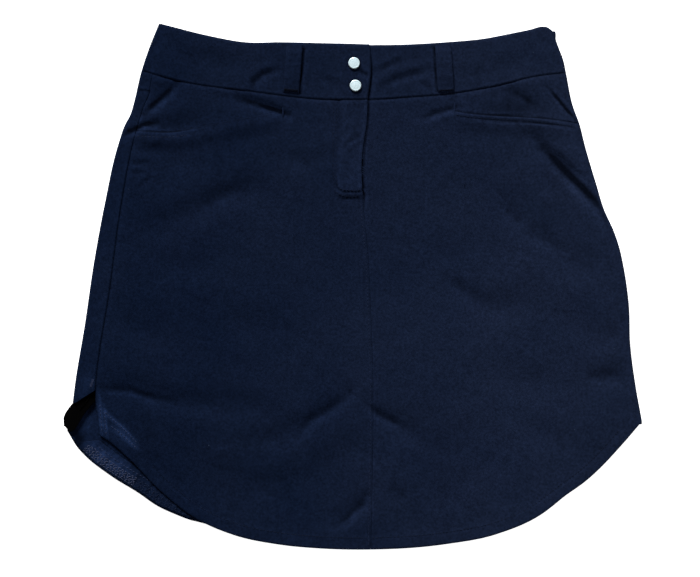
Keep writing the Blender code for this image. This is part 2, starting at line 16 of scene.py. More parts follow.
import bmesh
import bpy
import numpy as np
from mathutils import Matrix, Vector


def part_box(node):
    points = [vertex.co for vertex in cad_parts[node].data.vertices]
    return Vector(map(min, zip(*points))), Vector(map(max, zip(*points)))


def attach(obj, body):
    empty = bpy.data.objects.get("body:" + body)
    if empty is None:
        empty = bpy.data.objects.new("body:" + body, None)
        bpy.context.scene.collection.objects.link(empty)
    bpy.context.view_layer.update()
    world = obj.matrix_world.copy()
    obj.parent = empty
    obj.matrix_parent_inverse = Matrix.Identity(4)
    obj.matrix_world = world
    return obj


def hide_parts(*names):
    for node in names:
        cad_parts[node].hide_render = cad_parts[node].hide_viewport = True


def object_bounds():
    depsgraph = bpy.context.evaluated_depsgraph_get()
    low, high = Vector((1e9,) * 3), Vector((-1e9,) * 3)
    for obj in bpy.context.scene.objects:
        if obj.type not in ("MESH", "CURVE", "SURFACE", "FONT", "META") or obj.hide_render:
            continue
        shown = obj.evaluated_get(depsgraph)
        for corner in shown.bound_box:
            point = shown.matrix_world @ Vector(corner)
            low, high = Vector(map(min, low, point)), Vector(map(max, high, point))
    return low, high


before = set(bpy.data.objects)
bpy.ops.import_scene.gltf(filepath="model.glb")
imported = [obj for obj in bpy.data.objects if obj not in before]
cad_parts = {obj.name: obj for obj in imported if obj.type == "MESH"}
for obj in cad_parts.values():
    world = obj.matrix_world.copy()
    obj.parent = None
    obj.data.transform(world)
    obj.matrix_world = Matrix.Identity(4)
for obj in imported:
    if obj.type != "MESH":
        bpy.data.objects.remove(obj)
cad_low, cad_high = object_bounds()
MM = 0.001
cad_size = (cad_high - cad_low) / MM
print("nodes:", len(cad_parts), "size in mm:", [round(v) for v in cad_size])

# %% [markdown]
# ## The table and the light
#
# The garment was shot from straight above on a plain white ground, with hardly a shadow beside it.
# A large pale plane that glows a little, like a light table, gives that. It lies a hair under the
# cloth, because two faces in the same place would flicker.

# %% Table
FLOOR_GAP = 0.0003
FLOOR_SIDE = 24.0
TABLE_GLOW = 0.85
TABLE_WHITE = (0.88, 0.88, 0.88, 1)


def put(name, data):
    """A new object in the scene."""
    thing = bpy.data.objects.new(name, data)
    bpy.context.scene.collection.objects.link(thing)
    return thing


def make_table():
    half = FLOOR_SIDE / 2
    mesh = bpy.data.meshes.new("table")
    corners = [(-half, -half), (half, -half), (half, half), (-half, half)]
    mesh.from_pydata([(x, y, -FLOOR_GAP) for x, y in corners], [], [(0, 1, 2, 3)])
    paint = bpy.data.materials.new("table_paint")
    paint.use_nodes = True
    inputs = paint.node_tree.nodes["Principled BSDF"].inputs
    inputs["Base Color"].default_value = TABLE_WHITE
    inputs["Roughness"].default_value = 0.9
    inputs["Specular IOR Level"].default_value = 0.1
    inputs["Emission Color"].default_value = (1, 1, 1, 1)
    inputs["Emission Strength"].default_value = TABLE_GLOW
    mesh.materials.append(paint)
    put("table", mesh)


make_table()
print("table:", FLOOR_SIDE, "m square")

# %% [markdown]
# Navy cloth is so dark that only its slopes tell the eye where a crease runs. A low, soft light
# from the waist end, a little to the left, draws each crease with one dark bank. It is a sun lamp
# with a wide angle: as soft as a big studio box, and as strong at the hem as at the waist. A weaker
# lamp on the right lets the cloth's nap shine there, and the pale world fills the rest.

# %% Lights
Light = namedtuple("Light", "name kind place size power")
LIGHTS = (
    Light("key", "SUN", (-0.75, 2.6, 1.10), math.radians(22), 8.6),
    Light("nap_light", "AREA", (2.5, -0.9, 1.0), 1.0, 26.0),
    Light("overhead", "AREA", (0.0, -0.6, 2.6), 2.0, 7.0),
)
WORLD_GREY = 0.12


def make_light(light):
    lamp = bpy.data.lights.new(light.name, light.kind)
    if light.kind == "SUN":
        lamp.angle = light.size
    else:
        lamp.size = light.size
    lamp.energy = light.power
    placed = put(light.name, lamp)
    placed.location = light.place
    towards = -placed.location
    placed.rotation_euler = towards.to_track_quat("-Z", "Y").to_euler()


def make_world():
    world = bpy.data.worlds.new("pale_room")
    world.use_nodes = True
    background = world.node_tree.nodes["Background"]
    background.inputs["Color"].default_value = (WORLD_GREY, WORLD_GREY, WORLD_GREY, 1)
    bpy.context.scene.world = world


for light in LIGHTS:
    make_light(light)
make_world()
bpy.context.scene.view_settings.view_transform = "Standard"
print("lights:", [light.name for light in LIGHTS])

# %% [markdown]
# The camera looks straight down. A long lens from far off keeps the outline free of perspective,
# so that a millimetre is the same length all over the picture.

# %% Camera
LENS = 85.0
VIEW_WIDTH = 0.630  # what the picture takes in from side to side, in metres
VIEW_CENTRE = (-0.00225, -0.0018)
TRUE_HEIGHT = 0.005  # where the picture's scale is exact: halfway up the pile of cloth


def make_camera():
    data = bpy.data.cameras.new("camera")
    data.lens = LENS
    camera = put("camera", data)
    distance = VIEW_WIDTH * LENS / data.sensor_width
    camera.location = (*VIEW_CENTRE, distance + TRUE_HEIGHT)
    bpy.context.scene.camera = camera
    return camera


camera = make_camera()
print("camera height:", round(camera.location.z, 3), "m")

# %% [markdown]
# ## The pattern
#
# A pattern cutter draws a garment as a few smooth outlines. Each outline here is a short table of
# points, and curve() runs a smooth rule through them: give it an x and it returns the y of the
# edge there, or the other way round for an upright edge.

# %% Curves
def curve(*pairs):
    """A smooth rule through a table's pairs, level beyond its ends."""
    place, value = np.array(pairs, float).T
    slope = np.gradient(value, place)

    def rule(at):
        at = np.clip(at, place[0], place[-1])
        i = np.clip(np.searchsorted(place, at) - 1, 0, len(place) - 2)
        step = place[i + 1] - place[i]
        s = (at - place[i]) / step
        ahead = s * s * (3 - 2 * s)
        bend = s * (1 - s) * step * ((1 - s) * slope[i] - s * slope[i + 1])
        return value[i] * (1 - ahead) + value[i + 1] * ahead + bend

    return rule


def ease(value):
    """0 below 0, 1 above 1, and a soft step between."""
    s = np.clip(value, 0, 1)
    return s * s * (3 - 2 * s)


# %% [markdown]
# The outlines were measured in the photograph. Each table holds pairs of millimetres that one
# edge passes: first the place along it, then how far out it is. Naming every edge once means that
# two pieces which meet there can use the same line, and so fit without a gap.

# %% Outlines
left_fold = curve(
    (-105, -252.3), (-88, -250.2), (-34, -241.3), (20, -233.4), (74, -223.5), (128, -211.2),
    (146, -205.0), (155, -200.2), (164, -197.5), (194, -190.3), (215, -183.3), (236, -174.8),
)
right_fold = curve(
    (-121, 260.9), (-88, 255.0), (-52, 250.4), (-16, 249.1), (20, 244.0), (33, 241.2), (51, 235.2),
    (69, 227.0), (92, 219.9), (128, 209.3), (146, 204.8), (164, 198.3), (191, 192.8), (205, 189.8),
    (218, 184.8), (223, 183.2), (227, 183.4), (236, 180.5),
)
band_edge = curve(
    (-174, 237.0), (-133, 226.4), (-94, 219.6), (-66, 219.8), (-22, 218.9), (38, 217.8),
    (84, 220.2), (117, 223.2), (146, 228.7), (160, 231.6), (171, 234.4), (174.5, 234.2),
    (184, 226.8),
)
band_seam = curve(
    (-190, 194.0), (-151, 183.5), (-97, 176.0), (-28, 168.2), (16, 168.0), (52, 170.1), (78, 172.1),
    (126, 179.6), (164, 188.6), (192, 192.2),
)
yoke_seam = curve(
    (-200, 176.6), (-183, 176), (-160, 168), (-110, 150), (0, 130), (110, 150), (200, 172),
)
centre = curve(
    (-238, 16.8), (-190, 17.6), (-160, 18.1), (-117, 18.6), (-73, 18.2), (-42, 17.2), (-20, 16.4),
    (3, 15.5), (35, 13.6), (61, 10.8), (80, 9.5), (93, 8.6), (112, 8.3), (120, 8.9), (128, 9.8),
    (136, 11.1), (145, 12.4), (155, 13.2), (168, 13.8), (178, 15.2), (196, 17.0), (217, 15.2),
)
side_seam = curve(
    (-133.5, -228.4), (-100, -231.2), (-93, -230.9), (-1, -217.8), (75, -207.5), (129, -197.2),
    (157, -189.4), (163, -187.4), (172, -183.2), (180, -181.9), (192, -179.4),
)
left_mouth = curve(
    (-192, 140.5), (-164, 139.5), (-137, 143.6), (-110, 149.0), (-74, 155.3), (-61, 157.6),
)
right_mouth = curve((91, 158.3), (98, 157.0), (121, 154.4), (163, 152.1), (201, 147.5))
front_hem = curve(
    (-228.4, -133.3), (-217, -141.3), (-202, -154.5), (-177, -180.5), (-146, -206.0),
    (-108, -223.6), (-67, -232.4), (-30, -236.0), (16, -237.0), (84, -232.2), (129, -223.4),
    (170, -205.4), (193, -187.6), (210, -175.4), (221, -165.5), (241, -144.2), (260.9, -121.0),
)
back_hem_left = curve(
    (-257.4, -130.0), (-249, -144.2), (-242, -152.0), (-220, -169.6), (-191, -187.8),
    (-178, -197.0), (-159, -206.0), (-134, -215.4),
)
back_edge = curve((-130, -257.4), (-118, -255.5), (-105, -249.6))
leg_side = curve(
    (-124, -260.4), (-118, -260.6), (-112, -257.8), (-106, -253.0), (-98, -247.0), (20, -226.0),
    (74, -216.0), (128, -204.0), (164, -190.0), (190, -182.5),
)
leg_hem = curve(
    (-260.6, -124.0), (-255, -131.0), (-241, -113.5), (-231, -102.0), (-212, -96.0), (-150, -95.0),
    (20, -95.0),
)
LEFT_POCKET_END = -61.7  # x of the short seam at the inner end of each pocket
RIGHT_POCKET_END = 91.5
print("waist laid flat:", round(float(right_fold(230) - left_fold(230))), "mm")
print("centre front:", round(float(band_edge(14) - front_hem(14))), "mm")

# %% [markdown]
# ## Heights
#
# The garment is a low pile: the back on the table, the inner short on it, and the front on top.
# These heights are where the outer side of each layer lies. The front sinks towards its hem,
# because the short ends above it, and towards the side folds, where the cloth turns under.

# %% Layers
SHELL = 0.8  # thickness of the skirt's cloth
BAND = 1.5  # thickness of the waistband
KNIT = 0.8  # thickness of the inner short's knit
SEAM = 0.08  # between two sewn pieces, where the thread pulls them together
HALF = SEAM / 2
FLOOR_CLOTH = 1.0  # height of the lowest layer, with its room
FOLD_TOP = 5.2
WAIST_TOP = 6.4
BODY_TOP = 7.0
HEM_TOP = 3.8
BAND_TOP = 6.6
TURN = FOLD_TOP / 2
FOLD_REACH = 20
RELIEF_REACH = 7  # creases run out this close to a side fold
CORNER_SINKS = 1.3  # the hem's corner at the vent lies lower
CORNER_SLOPE = 55  # and rises from its hem over this length
WAIST_REACH = 60
STEP_FOOT = -186
STEP_LENGTH = 80
BODY_RELIEF = 1.6  # how far a crease's ridge may rise
ROOM_LEFT = 0.25  # and what a trough leaves free above the layer below
LEG_HEM = -95.0
RIGHT_LEG_INSET = 8  # from the right fold to the side of the short's right leg
SHORT_HEIGHT = 2.5
UNDERLAP = 23
BAND_LIFT = 0.6
BAND_DIP = 1.4
FLY_LIFT = 1.35
FLY_UNDERLAP = 9
FLY_WIDTH = 27
FLY_FOOT = 87
POCKET_LIFT = 1.5
POCKET_UNDER = 4
SIDE_ALLOWANCE = 18
TUCK = 1.2
VENT_TOP = -93.0
VENT_FOLD = -105.0
HEM_JOIN = -134
print("layers at the hip: back 0 to 1, short 1.3 to 3.8, front top", BODY_TOP, "mm")

# %% [markdown]
# ## Creases one by one
#
# Cloth that has been folded, worn and smoothed by hand keeps long soft troughs with a low roll
# beside them. A simulation would put them anywhere, so each one is placed from the photograph: a
# path, how wide and deep it is, and how high the roll beside it stands. No two are alike. Broad
# troughs are in the solids too; the narrow ones that sharpen them are only here.

# %% Crease table
Fold = namedtuple("Fold", "width depth roll path")
Swell = namedtuple("Swell", "x y reach_x reach_y height")


def folds(*rows):
    """A table of folds: width, depth and roll, then the points of the path."""
    return [Fold(*row[:3], row[3:]) for row in rows]


def swells(*rows):
    """A table of swells: the centre, the reach along x and y, and the height."""
    return [Swell(*row) for row in rows]


FOLDS = folds(
    # right side, under the pocket and down to the hem
    (8, 1.9, 0.9, (160, 136), (189, 106), (208, 89), (229, 63)),
    (4.4, 1.2, 0, (167, 131), (177, 121.5), (191, 106.5), (201, 95.5), (216, 79), (226, 67)),
    (
        5.4, 3.3, 0, (172, 124), (177, 119), (183, 113), (190.5, 105), (197.5, 98), (207, 89.5),
        (217.5, 79), (228, 65),
    ),
    (12, 1.3, -0.8, (150, 65), (182, 35), (199, 24), (234, 9)),
    (6, 0.7, 0.4, (136, 72), (146, 63), (155, 57)),
    (5, 0.6, -0.3, (165, 48), (178, 40), (187, 34)),
    (14, 1.3, 0.8, (79, 15), (116, -15), (165, -19)),
    (5, 0.55, 0.3, (84, 10), (104, -6), (128, -17)),
    (12, 0.8, 0.5, (120, 92), (146, 72), (160, 52)),
    (12, 0.6, -0.4, (60, 46), (92, 30), (120, 26)),
    (9, 1.1, 0.5, (205, -83), (250, -78)),
    (4, 0.5, 0.2, (214, -82), (238, -79)),
    (9, 0.7, -0.4, (196, -30), (222, -42), (244, -44)),
    (13, 0.8, 0.5, (120, -70), (150, -84), (186, -86)),
    (11, 0.7, 0.4, (150, -120), (178, -135), (200, -139)),
    (11, 1.3, 0.2, (132, 175), (152, 169), (168, 161)),
    (4.4, 1.3, 0.1, (142, 177), (152, 172.5), (163, 165)),
    (6, 0.8, 0.3, (177, 178), (184, 170), (193, 159), (201, 150)),
    (1.6, 1.0, 0.35, (177, 178), (184, 170), (193, 159), (201, 150)),
    (3.0, 1.2, -0.4, (63, 151), (74, 156), (86, 160), (98, 161.5)),
    # left side, from the pocket to the vent
    (8, 1.3, 0.6, (-160, 184), (-171, 171), (-189, 158)),
    (3.4, 2.1, 0.3, (-159, 182), (-166, 176), (-176, 167), (-188, 156)),
    (8, 1.1, -0.4, (-196, 141), (-181, 147), (-126, 146)),
    (3.0, 2.7, -0.25, (-207, 137), (-196, 142), (-188, 146), (-176, 147.5)),
    (5, 0.7, 0, (-178, 144), (-166, 142), (-150, 143)),
    (8, 1.3, 0.6, (-108, 171), (-84, 163), (-60, 156)),
    (3.4, 1.4, 0.3, (-104, 169), (-86, 165), (-72, 160), (-58, 155)),
    (2.4, 1.2, 0.15, (-82, 162.5), (-70, 159), (-56, 155)),
    (12, 1.4, 0.8, (-167, 60), (-149, 67), (-133, 75), (-119, 83), (-95, 86), (-72, 82)),
    (5, 0.6, 0.3, (-138, 72), (-126, 79), (-114, 84), (-98, 87)),
    (8, 0.8, 0.4, (-60, 120), (-40, 112), (-22, 117)),
    (5, 0.5, 0.3, (-196, 126), (-180, 124), (-166, 126)),
    (12, 0.7, 0.4, (-192, 66), (-178, 58), (-160, 50)),
    (14, 0.8, -0.5, (-178, 28), (-150, 18), (-120, 22)),
    (2.8, 0.35, 0.2, (-200, 112), (-190, 111), (-180, 112.5)),
    (2.2, 0.35, 0.2, (-200, 103), (-189, 102.5)),
    (2.2, 0.4, 0.2, (-193, 88), (-188, 94), (-182, 98)),
    (11, 1.5, 0.3, (-228, -93), (-196, -93), (-159, -104), (-102, -106), (-70, -116)),
    (
        3.4, 1.3, 0, (-231, -91.5), (-216, -92), (-205, -92), (-197, -93), (-187, -97),
        (-176, -100.5), (-160, -103),
    ),
    (13, 0.9, -0.5, (-215, -20), (-190, -38), (-160, -44)),
    (13, 0.7, 0.5, (-120, -20), (-92, -36), (-60, -38)),
    # low middle
    (11, 1.5, 0.7, (-2, -96), (-36, -119), (-66, -134), (-96, -140)),
    (
        4.0, 1.2, 0.15, (-3, -95), (-10, -101), (-22, -110.5), (-31, -115), (-39, -119.5),
        (-45, -128), (-50, -135),
    ),
    (10, 1.3, -0.6, (16, -108), (39, -123), (66, -142)),
    (3.7, 1.3, -0.15, (13, -106), (22, -112.5), (29, -117), (37, -121), (46, -126)),
    (8, 1.1, 0.5, (13, -189), (1, -202), (-17, -212.5)),
    (3.5, 1.0, 0.15, (12, -188), (8, -196), (0, -202), (-6, -209), (-14, -214)),
    (8, 0.9, 0.4, (31, -180), (49, -193)),
    (13, 0.7, 0.4, (-100, -170), (-70, -182), (-48, -196)),
    # fly
    (2.0, 0.5, 0.35, (-14, 129), (-9, 136), (-3, 143)),
    (2.0, 0.55, -0.35, (-8, 126), (1, 133), (9, 138)),
    (1.8, 0.3, 0.2, (-4, 122), (8, 128)),
)
# Broad swells of the front
SWELLS = swells(
    (-150, 20, 60, 90, 0.6),
    (-60, -30, 55, 80, -0.4),
    (60, 70, 55, 60, 0.5),
    (110, -90, 70, 60, 0.6),
    (190, 120, 35, 35, 0.5),
    (28, -172, 32, 26, 1.2),
    (-150, -150, 45, 35, 0.5),
    (-60, 60, 40, 40, 0.4),
    (170, -20, 40, 40, 0.6),
    (90, 130, 30, 22, 0.4),
    (-110, 120, 34, 22, 0.4),
    (120, -170, 40, 30, 0.4),
)


def along_edge(rule, shift, start, end):
    """A path beside a level edge, as a fold's path."""
    return tuple((x, float(rule(x)) + shift) for x in np.linspace(start, end, 9))


# Narrow grooves that stitching pulls into the cloth: the foot of the fly and the pocket mouths
GROOVES = folds(
    (
        0.8, 0.5, 0.35, (-14.5, 99), (-14.3, 91.5), (-12.4, 87.6), (-9.5, 85.6), (1.3, 85.0),
        (8.9, 85.6), (11.1, 82.9), (10.6, 77), (10.5, 70),
    ),
    (0.7, 0.3, 0.2, (-14.5, 82.6), (-10, 80.6), (-5.1, 79.7), (1.4, 80.2), (7, 80.0)),
    (1.0, 0.8, 0.3, *along_edge(right_mouth, -4.4, 93, 198)),
    (0.9, 0.3, 0.25, *along_edge(left_mouth, -4.0, -196, -130)),
)

# Where the colour is paler, and, below 0, darker: for the colour alone. Some are wear on the nap;
# others are painted light, such as the inside of the back in the open vent, which lies in shade
# under the front, and the darker places are painted shade
WEAR_AND_PAINTED_LIGHT = swells(
    (-213, -128, 11, 14, 0.42),
    (-203, -137, 8, 8, 0.16),
    (-1, 106, 9, 20, 0.16),
    (30, -152, 34, 20, 0.12),
    (150, -150, 60, 40, 0.12),
    (-241, -88, 7, 9, 0.28),
    (-235, -86.5, 3.6, 4.6, 0.5),
    (-240, -120, 11, 15, 0.55),
    (-246, -139, 5, 8, -0.7),
    (-237, -144, 7, 5, 0.7),
    (-226, -153, 9, 7, 1.4),
    (-213, -161, 9, 7, 1.4),
    (-204, -169, 6, 5, 0.6),
    (222, 92, 8, 22, 0.16),
    (150, 161, 26, 10, -0.38),
    (-150, 100, 22, 16, 0.06),
    (60, -20, 60, 50, 0.05),
)
# The same along lines: paler beside the vent's stitching, and darker, as painted shade, on the
# near bank of the deep crease at the right
WEAR_AND_PAINTED_LIGHT_LINES = folds(
    (1.6, 1.9, 0, (-227.2, -98), (-226.8, -116), (-225.8, -134)),
    (1.4, 1.8, 0, (-222.8, -106), (-222.4, -121), (-221.6, -136)),
    (1.7, 1.7, 0, (-223.2, -112), (-216, -119.5), (-209.3, -124.8), (-201, -133), (-194, -141)),
    (2.0, 2.0, 0, (-217.4, -125.9), (-211, -130.4), (-204.9, -135.6), (-194.1, -145.9)),
    (7, -0.3, 0, (172, 114), (183, 102), (196, 87)),
)
print("creases placed by hand:", len(FOLDS), "swells:", len(SWELLS))

# %% [markdown]
# beside() measures how far each point of the cloth is from a crease's path, and fold_height()
# turns that into the trough and its roll. Both work on whole grids of points at once, which is why
# they use numpy and not a loop over vertices.

# %% Crease rules
FOLD_END = 0.35  # how deep a fold still is at its ends
FOLD_FADE = 0.3  # share of its length over which it gets there
RIDGE_PLACE, RIDGE_WIDTH = 1.9, 1.2  # of the ridge beside a trough, in widths of the trough


def bell(distance, width):
    """1 on a line, and softly down to 0 beyond the width."""
    return np.exp(-((distance / width) ** 2))


def beside(path, x, y):
    """Distance of each point from a path, the side it lies on, and how far along it is, 0 to 1."""
    path = np.array(path, float)
    lengths = np.linalg.norm(np.diff(path, axis=0), axis=1)
    before = np.concatenate([[0], np.cumsum(lengths)])
    nearest = np.full(np.shape(x), np.inf)
    side = np.zeros(np.shape(x))
    along = np.zeros(np.shape(x))
    for start, end, length, passed in zip(path[:-1], path[1:], lengths, before):
        way = (end - start) / length
        run = np.clip((x - start[0]) * way[0] + (y - start[1]) * way[1], 0, length)
        off_x = x - start[0] - run * way[0]
        off_y = y - start[1] - run * way[1]
        away = np.hypot(off_x, off_y)
        closer = away < nearest
        nearest = np.where(closer, away, nearest)
        side = np.where(closer, np.sign(way[0] * off_y - way[1] * off_x), side)
        along = np.where(closer, (passed + run) / before[-1], along)
    return nearest, side, along


def fold_height(fold, x, y):
    """The trough of one fold, with the soft ridge beside it."""
    away, side, along = beside(fold.path, x, y)
    fade = FOLD_END + (1 - FOLD_END) * ease(along / FOLD_FADE) * ease((1 - along) / FOLD_FADE)
    signed = away * side * np.sign(fold.roll)
    ridge = bell(signed - RIDGE_PLACE * fold.width, RIDGE_WIDTH * fold.width)
    return fade * (abs(fold.roll) * ridge - fold.depth * bell(away, fold.width))


def fold_sum(table, x, y):
    return sum(fold_height(fold, x, y) for fold in table)


def swell_sum(table, x, y):
    total = 0
    for swell in table:
        reach = ((x - swell.x) / swell.reach_x) ** 2 + ((y - swell.y) / swell.reach_y) ** 2
        total = total + swell.height * np.exp(-reach)
    return total


Ripple = namedtuple("Ripple", "length turn height shift")
RIPPLES = (
    Ripple(61, 0.4, 0.10, 0.0),
    Ripple(37, 2.1, 0.07, 1.1),
    Ripple(23, 1.2, 0.045, 2.6),
    Ripple(15, 2.8, 0.03, 0.7),
    Ripple(9.5, 0.9, 0.015, 1.9),
)


def unevenness(x, y):
    """What is left of the cloth's flatness between the creases: waves in five directions."""
    total = 0
    for wave in RIPPLES:
        across = x * math.cos(wave.turn) + y * math.sin(wave.turn)
        along = y * math.cos(wave.turn) - x * math.sin(wave.turn)
        bent = across + 0.16 * wave.length * np.sin(along / (1.7 * wave.length) + wave.shift)
        total = total + wave.height * np.sin(2 * math.pi * bent / wave.length + wave.shift)
    return total


def creases(x, y):
    """All folds together, calmer round the fly and near the hem, and the stitched grooves."""
    fly = 0.5 * ease((32 - np.abs(x - 6)) / 12) * ease((y - 70) / 15)
    hem = 0.35 + 0.65 * ease((y - front_hem(x)) / 25)
    return fold_sum(FOLDS, x, y) * (1 - fly) * hem + fold_sum(GROOVES, x, y)


def layers_below(x, y):
    """Top of what lies under the front: the short, and beyond its edges the back alone."""
    sides = np.minimum(x - leg_side(y), right_fold(y) - RIGHT_LEG_INSET - x)
    inside = np.minimum(sides, y - LEG_HEM)
    turned_hem = ease((-125 - x) / 20) * ease((-105 - y) / 15)
    return FLOOR_CLOTH + 2.8 * ease((inside + 3) / 4) + 1.3 * turned_hem


def relief(x, y, level):
    """Creases, swells and unevenness, held back where they would reach the layers below."""
    total = creases(x, y) + swell_sum(SWELLS, x, y)
    room = np.maximum(level - SHELL - layers_below(x, y) - ROOM_LEFT, 0.3)
    deep = room * np.tanh(np.minimum(total, 0) / room)
    high = BODY_RELIEF * np.tanh(np.maximum(total, 0) / BODY_RELIEF)
    return deep + high + unevenness(x, y)


crease, plain = relief(np.array([200.0, 60.0]), np.array([96.0, -60.0]), BODY_TOP)
print(f"crease on the right hip: {crease:.2f} mm; plain cloth: {plain:.2f}")

# %% [markdown]
# ## The front's height, all together
#
# The height of the front at any place is the sum of simple rules: the level of the layers below,
# the side folds, the creases, the lift of the fly over its underlap, and the lift of the pocket
# mouths over the hip pieces. Because it is a rule of x and y, the cloth, its seams and its
# stitching can all ask it where the surface is.

# %% Height rules
LINE = 0.9  # reach of the dark line in a seam
HEM_LINE = 10.8  # the hem's stitching, up from the edge
HEM_STEP = 0.22  # thickness that the turned hem adds
HEM_SLANT = 0.93  # a distance square to the hem, for one straight up


def inside_folds(x, y):
    """How far a place is from where the nearer side fold begins."""
    return np.minimum(x - left_fold(y), right_fold(y) - x) - TURN


def front_top(x, y):
    """Outer surface of the front, down to the side folds."""
    body = WAIST_TOP + (BODY_TOP - WAIST_TOP) * ease((band_seam(x) - y) / WAIST_REACH)
    foot = STEP_FOOT + 7 * np.sin(x / 38 + 0.6) - 4 * np.sin(x / 23)
    hem = HEM_TOP - CORNER_SINKS * ease((-120 - x) / 40)
    at_vent = (y - front_hem(x) + 10) / CORNER_SLOPE + ease((x + 175) / 45)
    level = hem + (body - hem) * ease(np.minimum((y - foot) / STEP_LENGTH, at_vent))
    edge = inside_folds(x, y)
    level = FOLD_TOP + (level - FOLD_TOP) * ease(edge / FOLD_REACH)
    return level + relief(x, y, level) * ease(edge / RELIEF_REACH)


def fly_lift(x, y):
    """How far the fly stands over its underlap, inside its J-shaped stitching."""
    across = ease((FLY_WIDTH - centre(y) + x) / 9)
    return FLY_LIFT * across * ease((y - FLY_FOOT + 9) / 7)


def mouth_lift(x, y):
    """How far the front's edge stands over the hip pieces at the two pocket mouths."""
    left = ease((LEFT_POCKET_END - x) / 10) * ease((x - side_seam(y)) / 22)
    right = ease((x - RIGHT_POCKET_END) / 10) * ease((right_fold(y) - x - 6) / 20)
    total = 0
    for lift, mouth in ((left, left_mouth), (right, right_mouth)):
        under = np.maximum(mouth(x) - y, 0)
        total = total + lift * (1 - ease((under - POCKET_UNDER - 1.5) / 14))
    return POCKET_LIFT * total


def hem_step(x, y):
    """The hem is turned up inside, so the cloth is a little higher below its stitching."""
    up = (y - front_hem(x)) * HEM_SLANT
    return HEM_STEP * (1 - ease((up - HEM_LINE + 0.6) / 1.2))


def puckers(along, away, reach):
    """Short uneven waves that the sewing pulls into the cloth beside a seam."""
    wave = np.sin(along / 1.25 + 1.3 * np.sin(along / 6.1)) + 0.6 * np.sin(along / 2.3 + 0.8)
    return 0.07 * wave * np.exp(-np.abs(away) / reach)


def mouth_shadow_line(x, y):
    """Painted shade: the dark line where a pocket mouth's edge meets the hip piece."""
    left = bell(y - left_mouth(x) + 0.7, LINE) * ease((LEFT_POCKET_END - x) / 3)
    right = bell(y - right_mouth(x), 1.0) * ease((x - RIGHT_POCKET_END) / 3)
    left = left * (0.28 + 0.47 * ease((-140 - x) / 20))
    return -left - 0.7 * right * (1 - 0.6 * ease((x - 160) / 25))


def seam_shadow_line(x, y):
    """Painted shade: the dark line of the left side seam below the pocket, and of the yoke's short
    seam.
    """
    side = bell(x - side_seam(y), LINE) * ease((121 - y) / 6)
    yoke = bell(y - yoke_seam(x), LINE) * ease((-178 - x) / 3)
    return -0.3 * side - 0.6 * yoke * (x < side_seam(y) + 0.5)


def front_shading(x, y):
    """What the front's painted shade and light follow: its creases, mouths and fly, and painted
    shadow lines along the waist seam and beside the fly's edge.
    """
    # painted shadow: a dark line along the waist seam and one beside the fly's edge
    waist = -0.45 * bell(y - band_seam(x), LINE)
    edge = ease((y - FLY_FOOT + 4) / 5) * bell(x - centre(y), 1.1)
    lifts = 0.25 * mouth_lift(x, y) + fly_lift(x, y) * (x < centre(y))
    lines = mouth_shadow_line(x, y) + seam_shadow_line(x, y)
    return creases(x, y) + lines + lifts + waist - 0.6 * edge


def roll_shading(x, y):
    """The same for the back and the yoke where they roll over the left fold."""
    return creases(x, y) + seam_shadow_line(x, y)


def front_left_top(x, y):
    seam = puckers(x, band_seam(x) - y, 5) + puckers(y + 300, x - side_seam(y), 4)
    return front_top(x, y) + mouth_lift(x, y) + fly_lift(x, y) + hem_step(x, y) + seam


def front_right_top(x, y):
    return front_top(x, y) + mouth_lift(x, y) + hem_step(x, y) + puckers(x, band_seam(x) - y, 5)


print("fly's height:", round(float(front_left_top(0, 130)), 2), "mm")

# %% [markdown]
# ## Finishes
#
# All finishes are built from nodes. The class Recipe adds nodes to one material and sets their
# sockets by name, so that each finish reads like a list of steps. Object coordinates are metres
# here, because every piece keeps its origin at the garment's own origin: a weave then has its true
# pitch on each piece.

# %% Node helper
class Recipe:
    """A material in the making: its nodes, its shader and the place that its patterns ask for."""

    def __init__(self, name, **sockets):
        self.finish = bpy.data.materials.new(name)
        self.finish.use_nodes = True
        self.tree = self.finish.node_tree
        self.shader = self.tree.nodes["Principled BSDF"]
        self.fill(self.shader, sockets)
        self.place = self.node("TexCoord").outputs["Object"]

    def feed(self, socket, value):
        """Gives an input a value, or links another node's output to it."""
        if isinstance(value, bpy.types.NodeSocket):
            self.tree.links.new(value, socket)
        else:
            socket.default_value = value

    def fill(self, node, sockets):
        """Feeds sockets by their names, with _ for a blank."""
        for name, value in sockets.items():
            self.feed(node.inputs[name.replace("_", " ")], value)

    def node(self, kind, settings=(), **sockets):
        """A shader node. settings are its own properties, sockets its inputs."""
        node = self.tree.nodes.new("ShaderNode" + kind)
        for name, value in dict(settings).items():
            setattr(node, name, value)
        self.fill(node, sockets)
        return node

    def noise(self, scale, detail=2.0, **sockets):
        sockets |= {"Vector": self.place, "Scale": scale, "Detail": detail}
        return self.node("TexNoise", **sockets).outputs["Fac"]

    def wave(self, direction, length, **sockets):
        """Bands that lie this far apart, in metres."""
        sockets |= {"Vector": self.place, "Scale": math.pi / 10 / length}
        return self.node("TexWave", {"bands_direction": direction}, **sockets).outputs["Fac"]

    def calc(self, operation, first, second):
        """Two numbers or links, added, multiplied or compared."""
        node = self.node("Math", {"operation": operation})
        self.feed(node.inputs[0], first)
        self.feed(node.inputs[1], second)
        return node.outputs[0]

    def ramp(self, factor, low, high, low_value, high_value):
        """A number that goes from low_value to high_value as the factor goes from low to high."""
        node = self.node("MapRange")
        for socket, value in zip(node.inputs, (factor, low, high, low_value, high_value)):
            self.feed(socket, value)
        return node.outputs[0]

    def mix(self, factor, first, second, blend="MIX"):
        """Two colours or links, mixed by a number or a link."""
        node = self.node("Mix", {"data_type": "RGBA", "blend_type": blend})
        for index, value in ((0, factor), (6, first), (7, second)):
            self.feed(node.inputs[index], value)
        return node.outputs[2]

    def bump(self, height, strength, distance):
        node = self.node("Bump", Strength=strength, Distance=distance, Height=height)
        self.fill(self.shader, {"Normal": node.outputs["Normal"]})

    def colour(self, value):
        self.fill(self.shader, {"Base_Color": value})


print("finishes are made from nodes only")
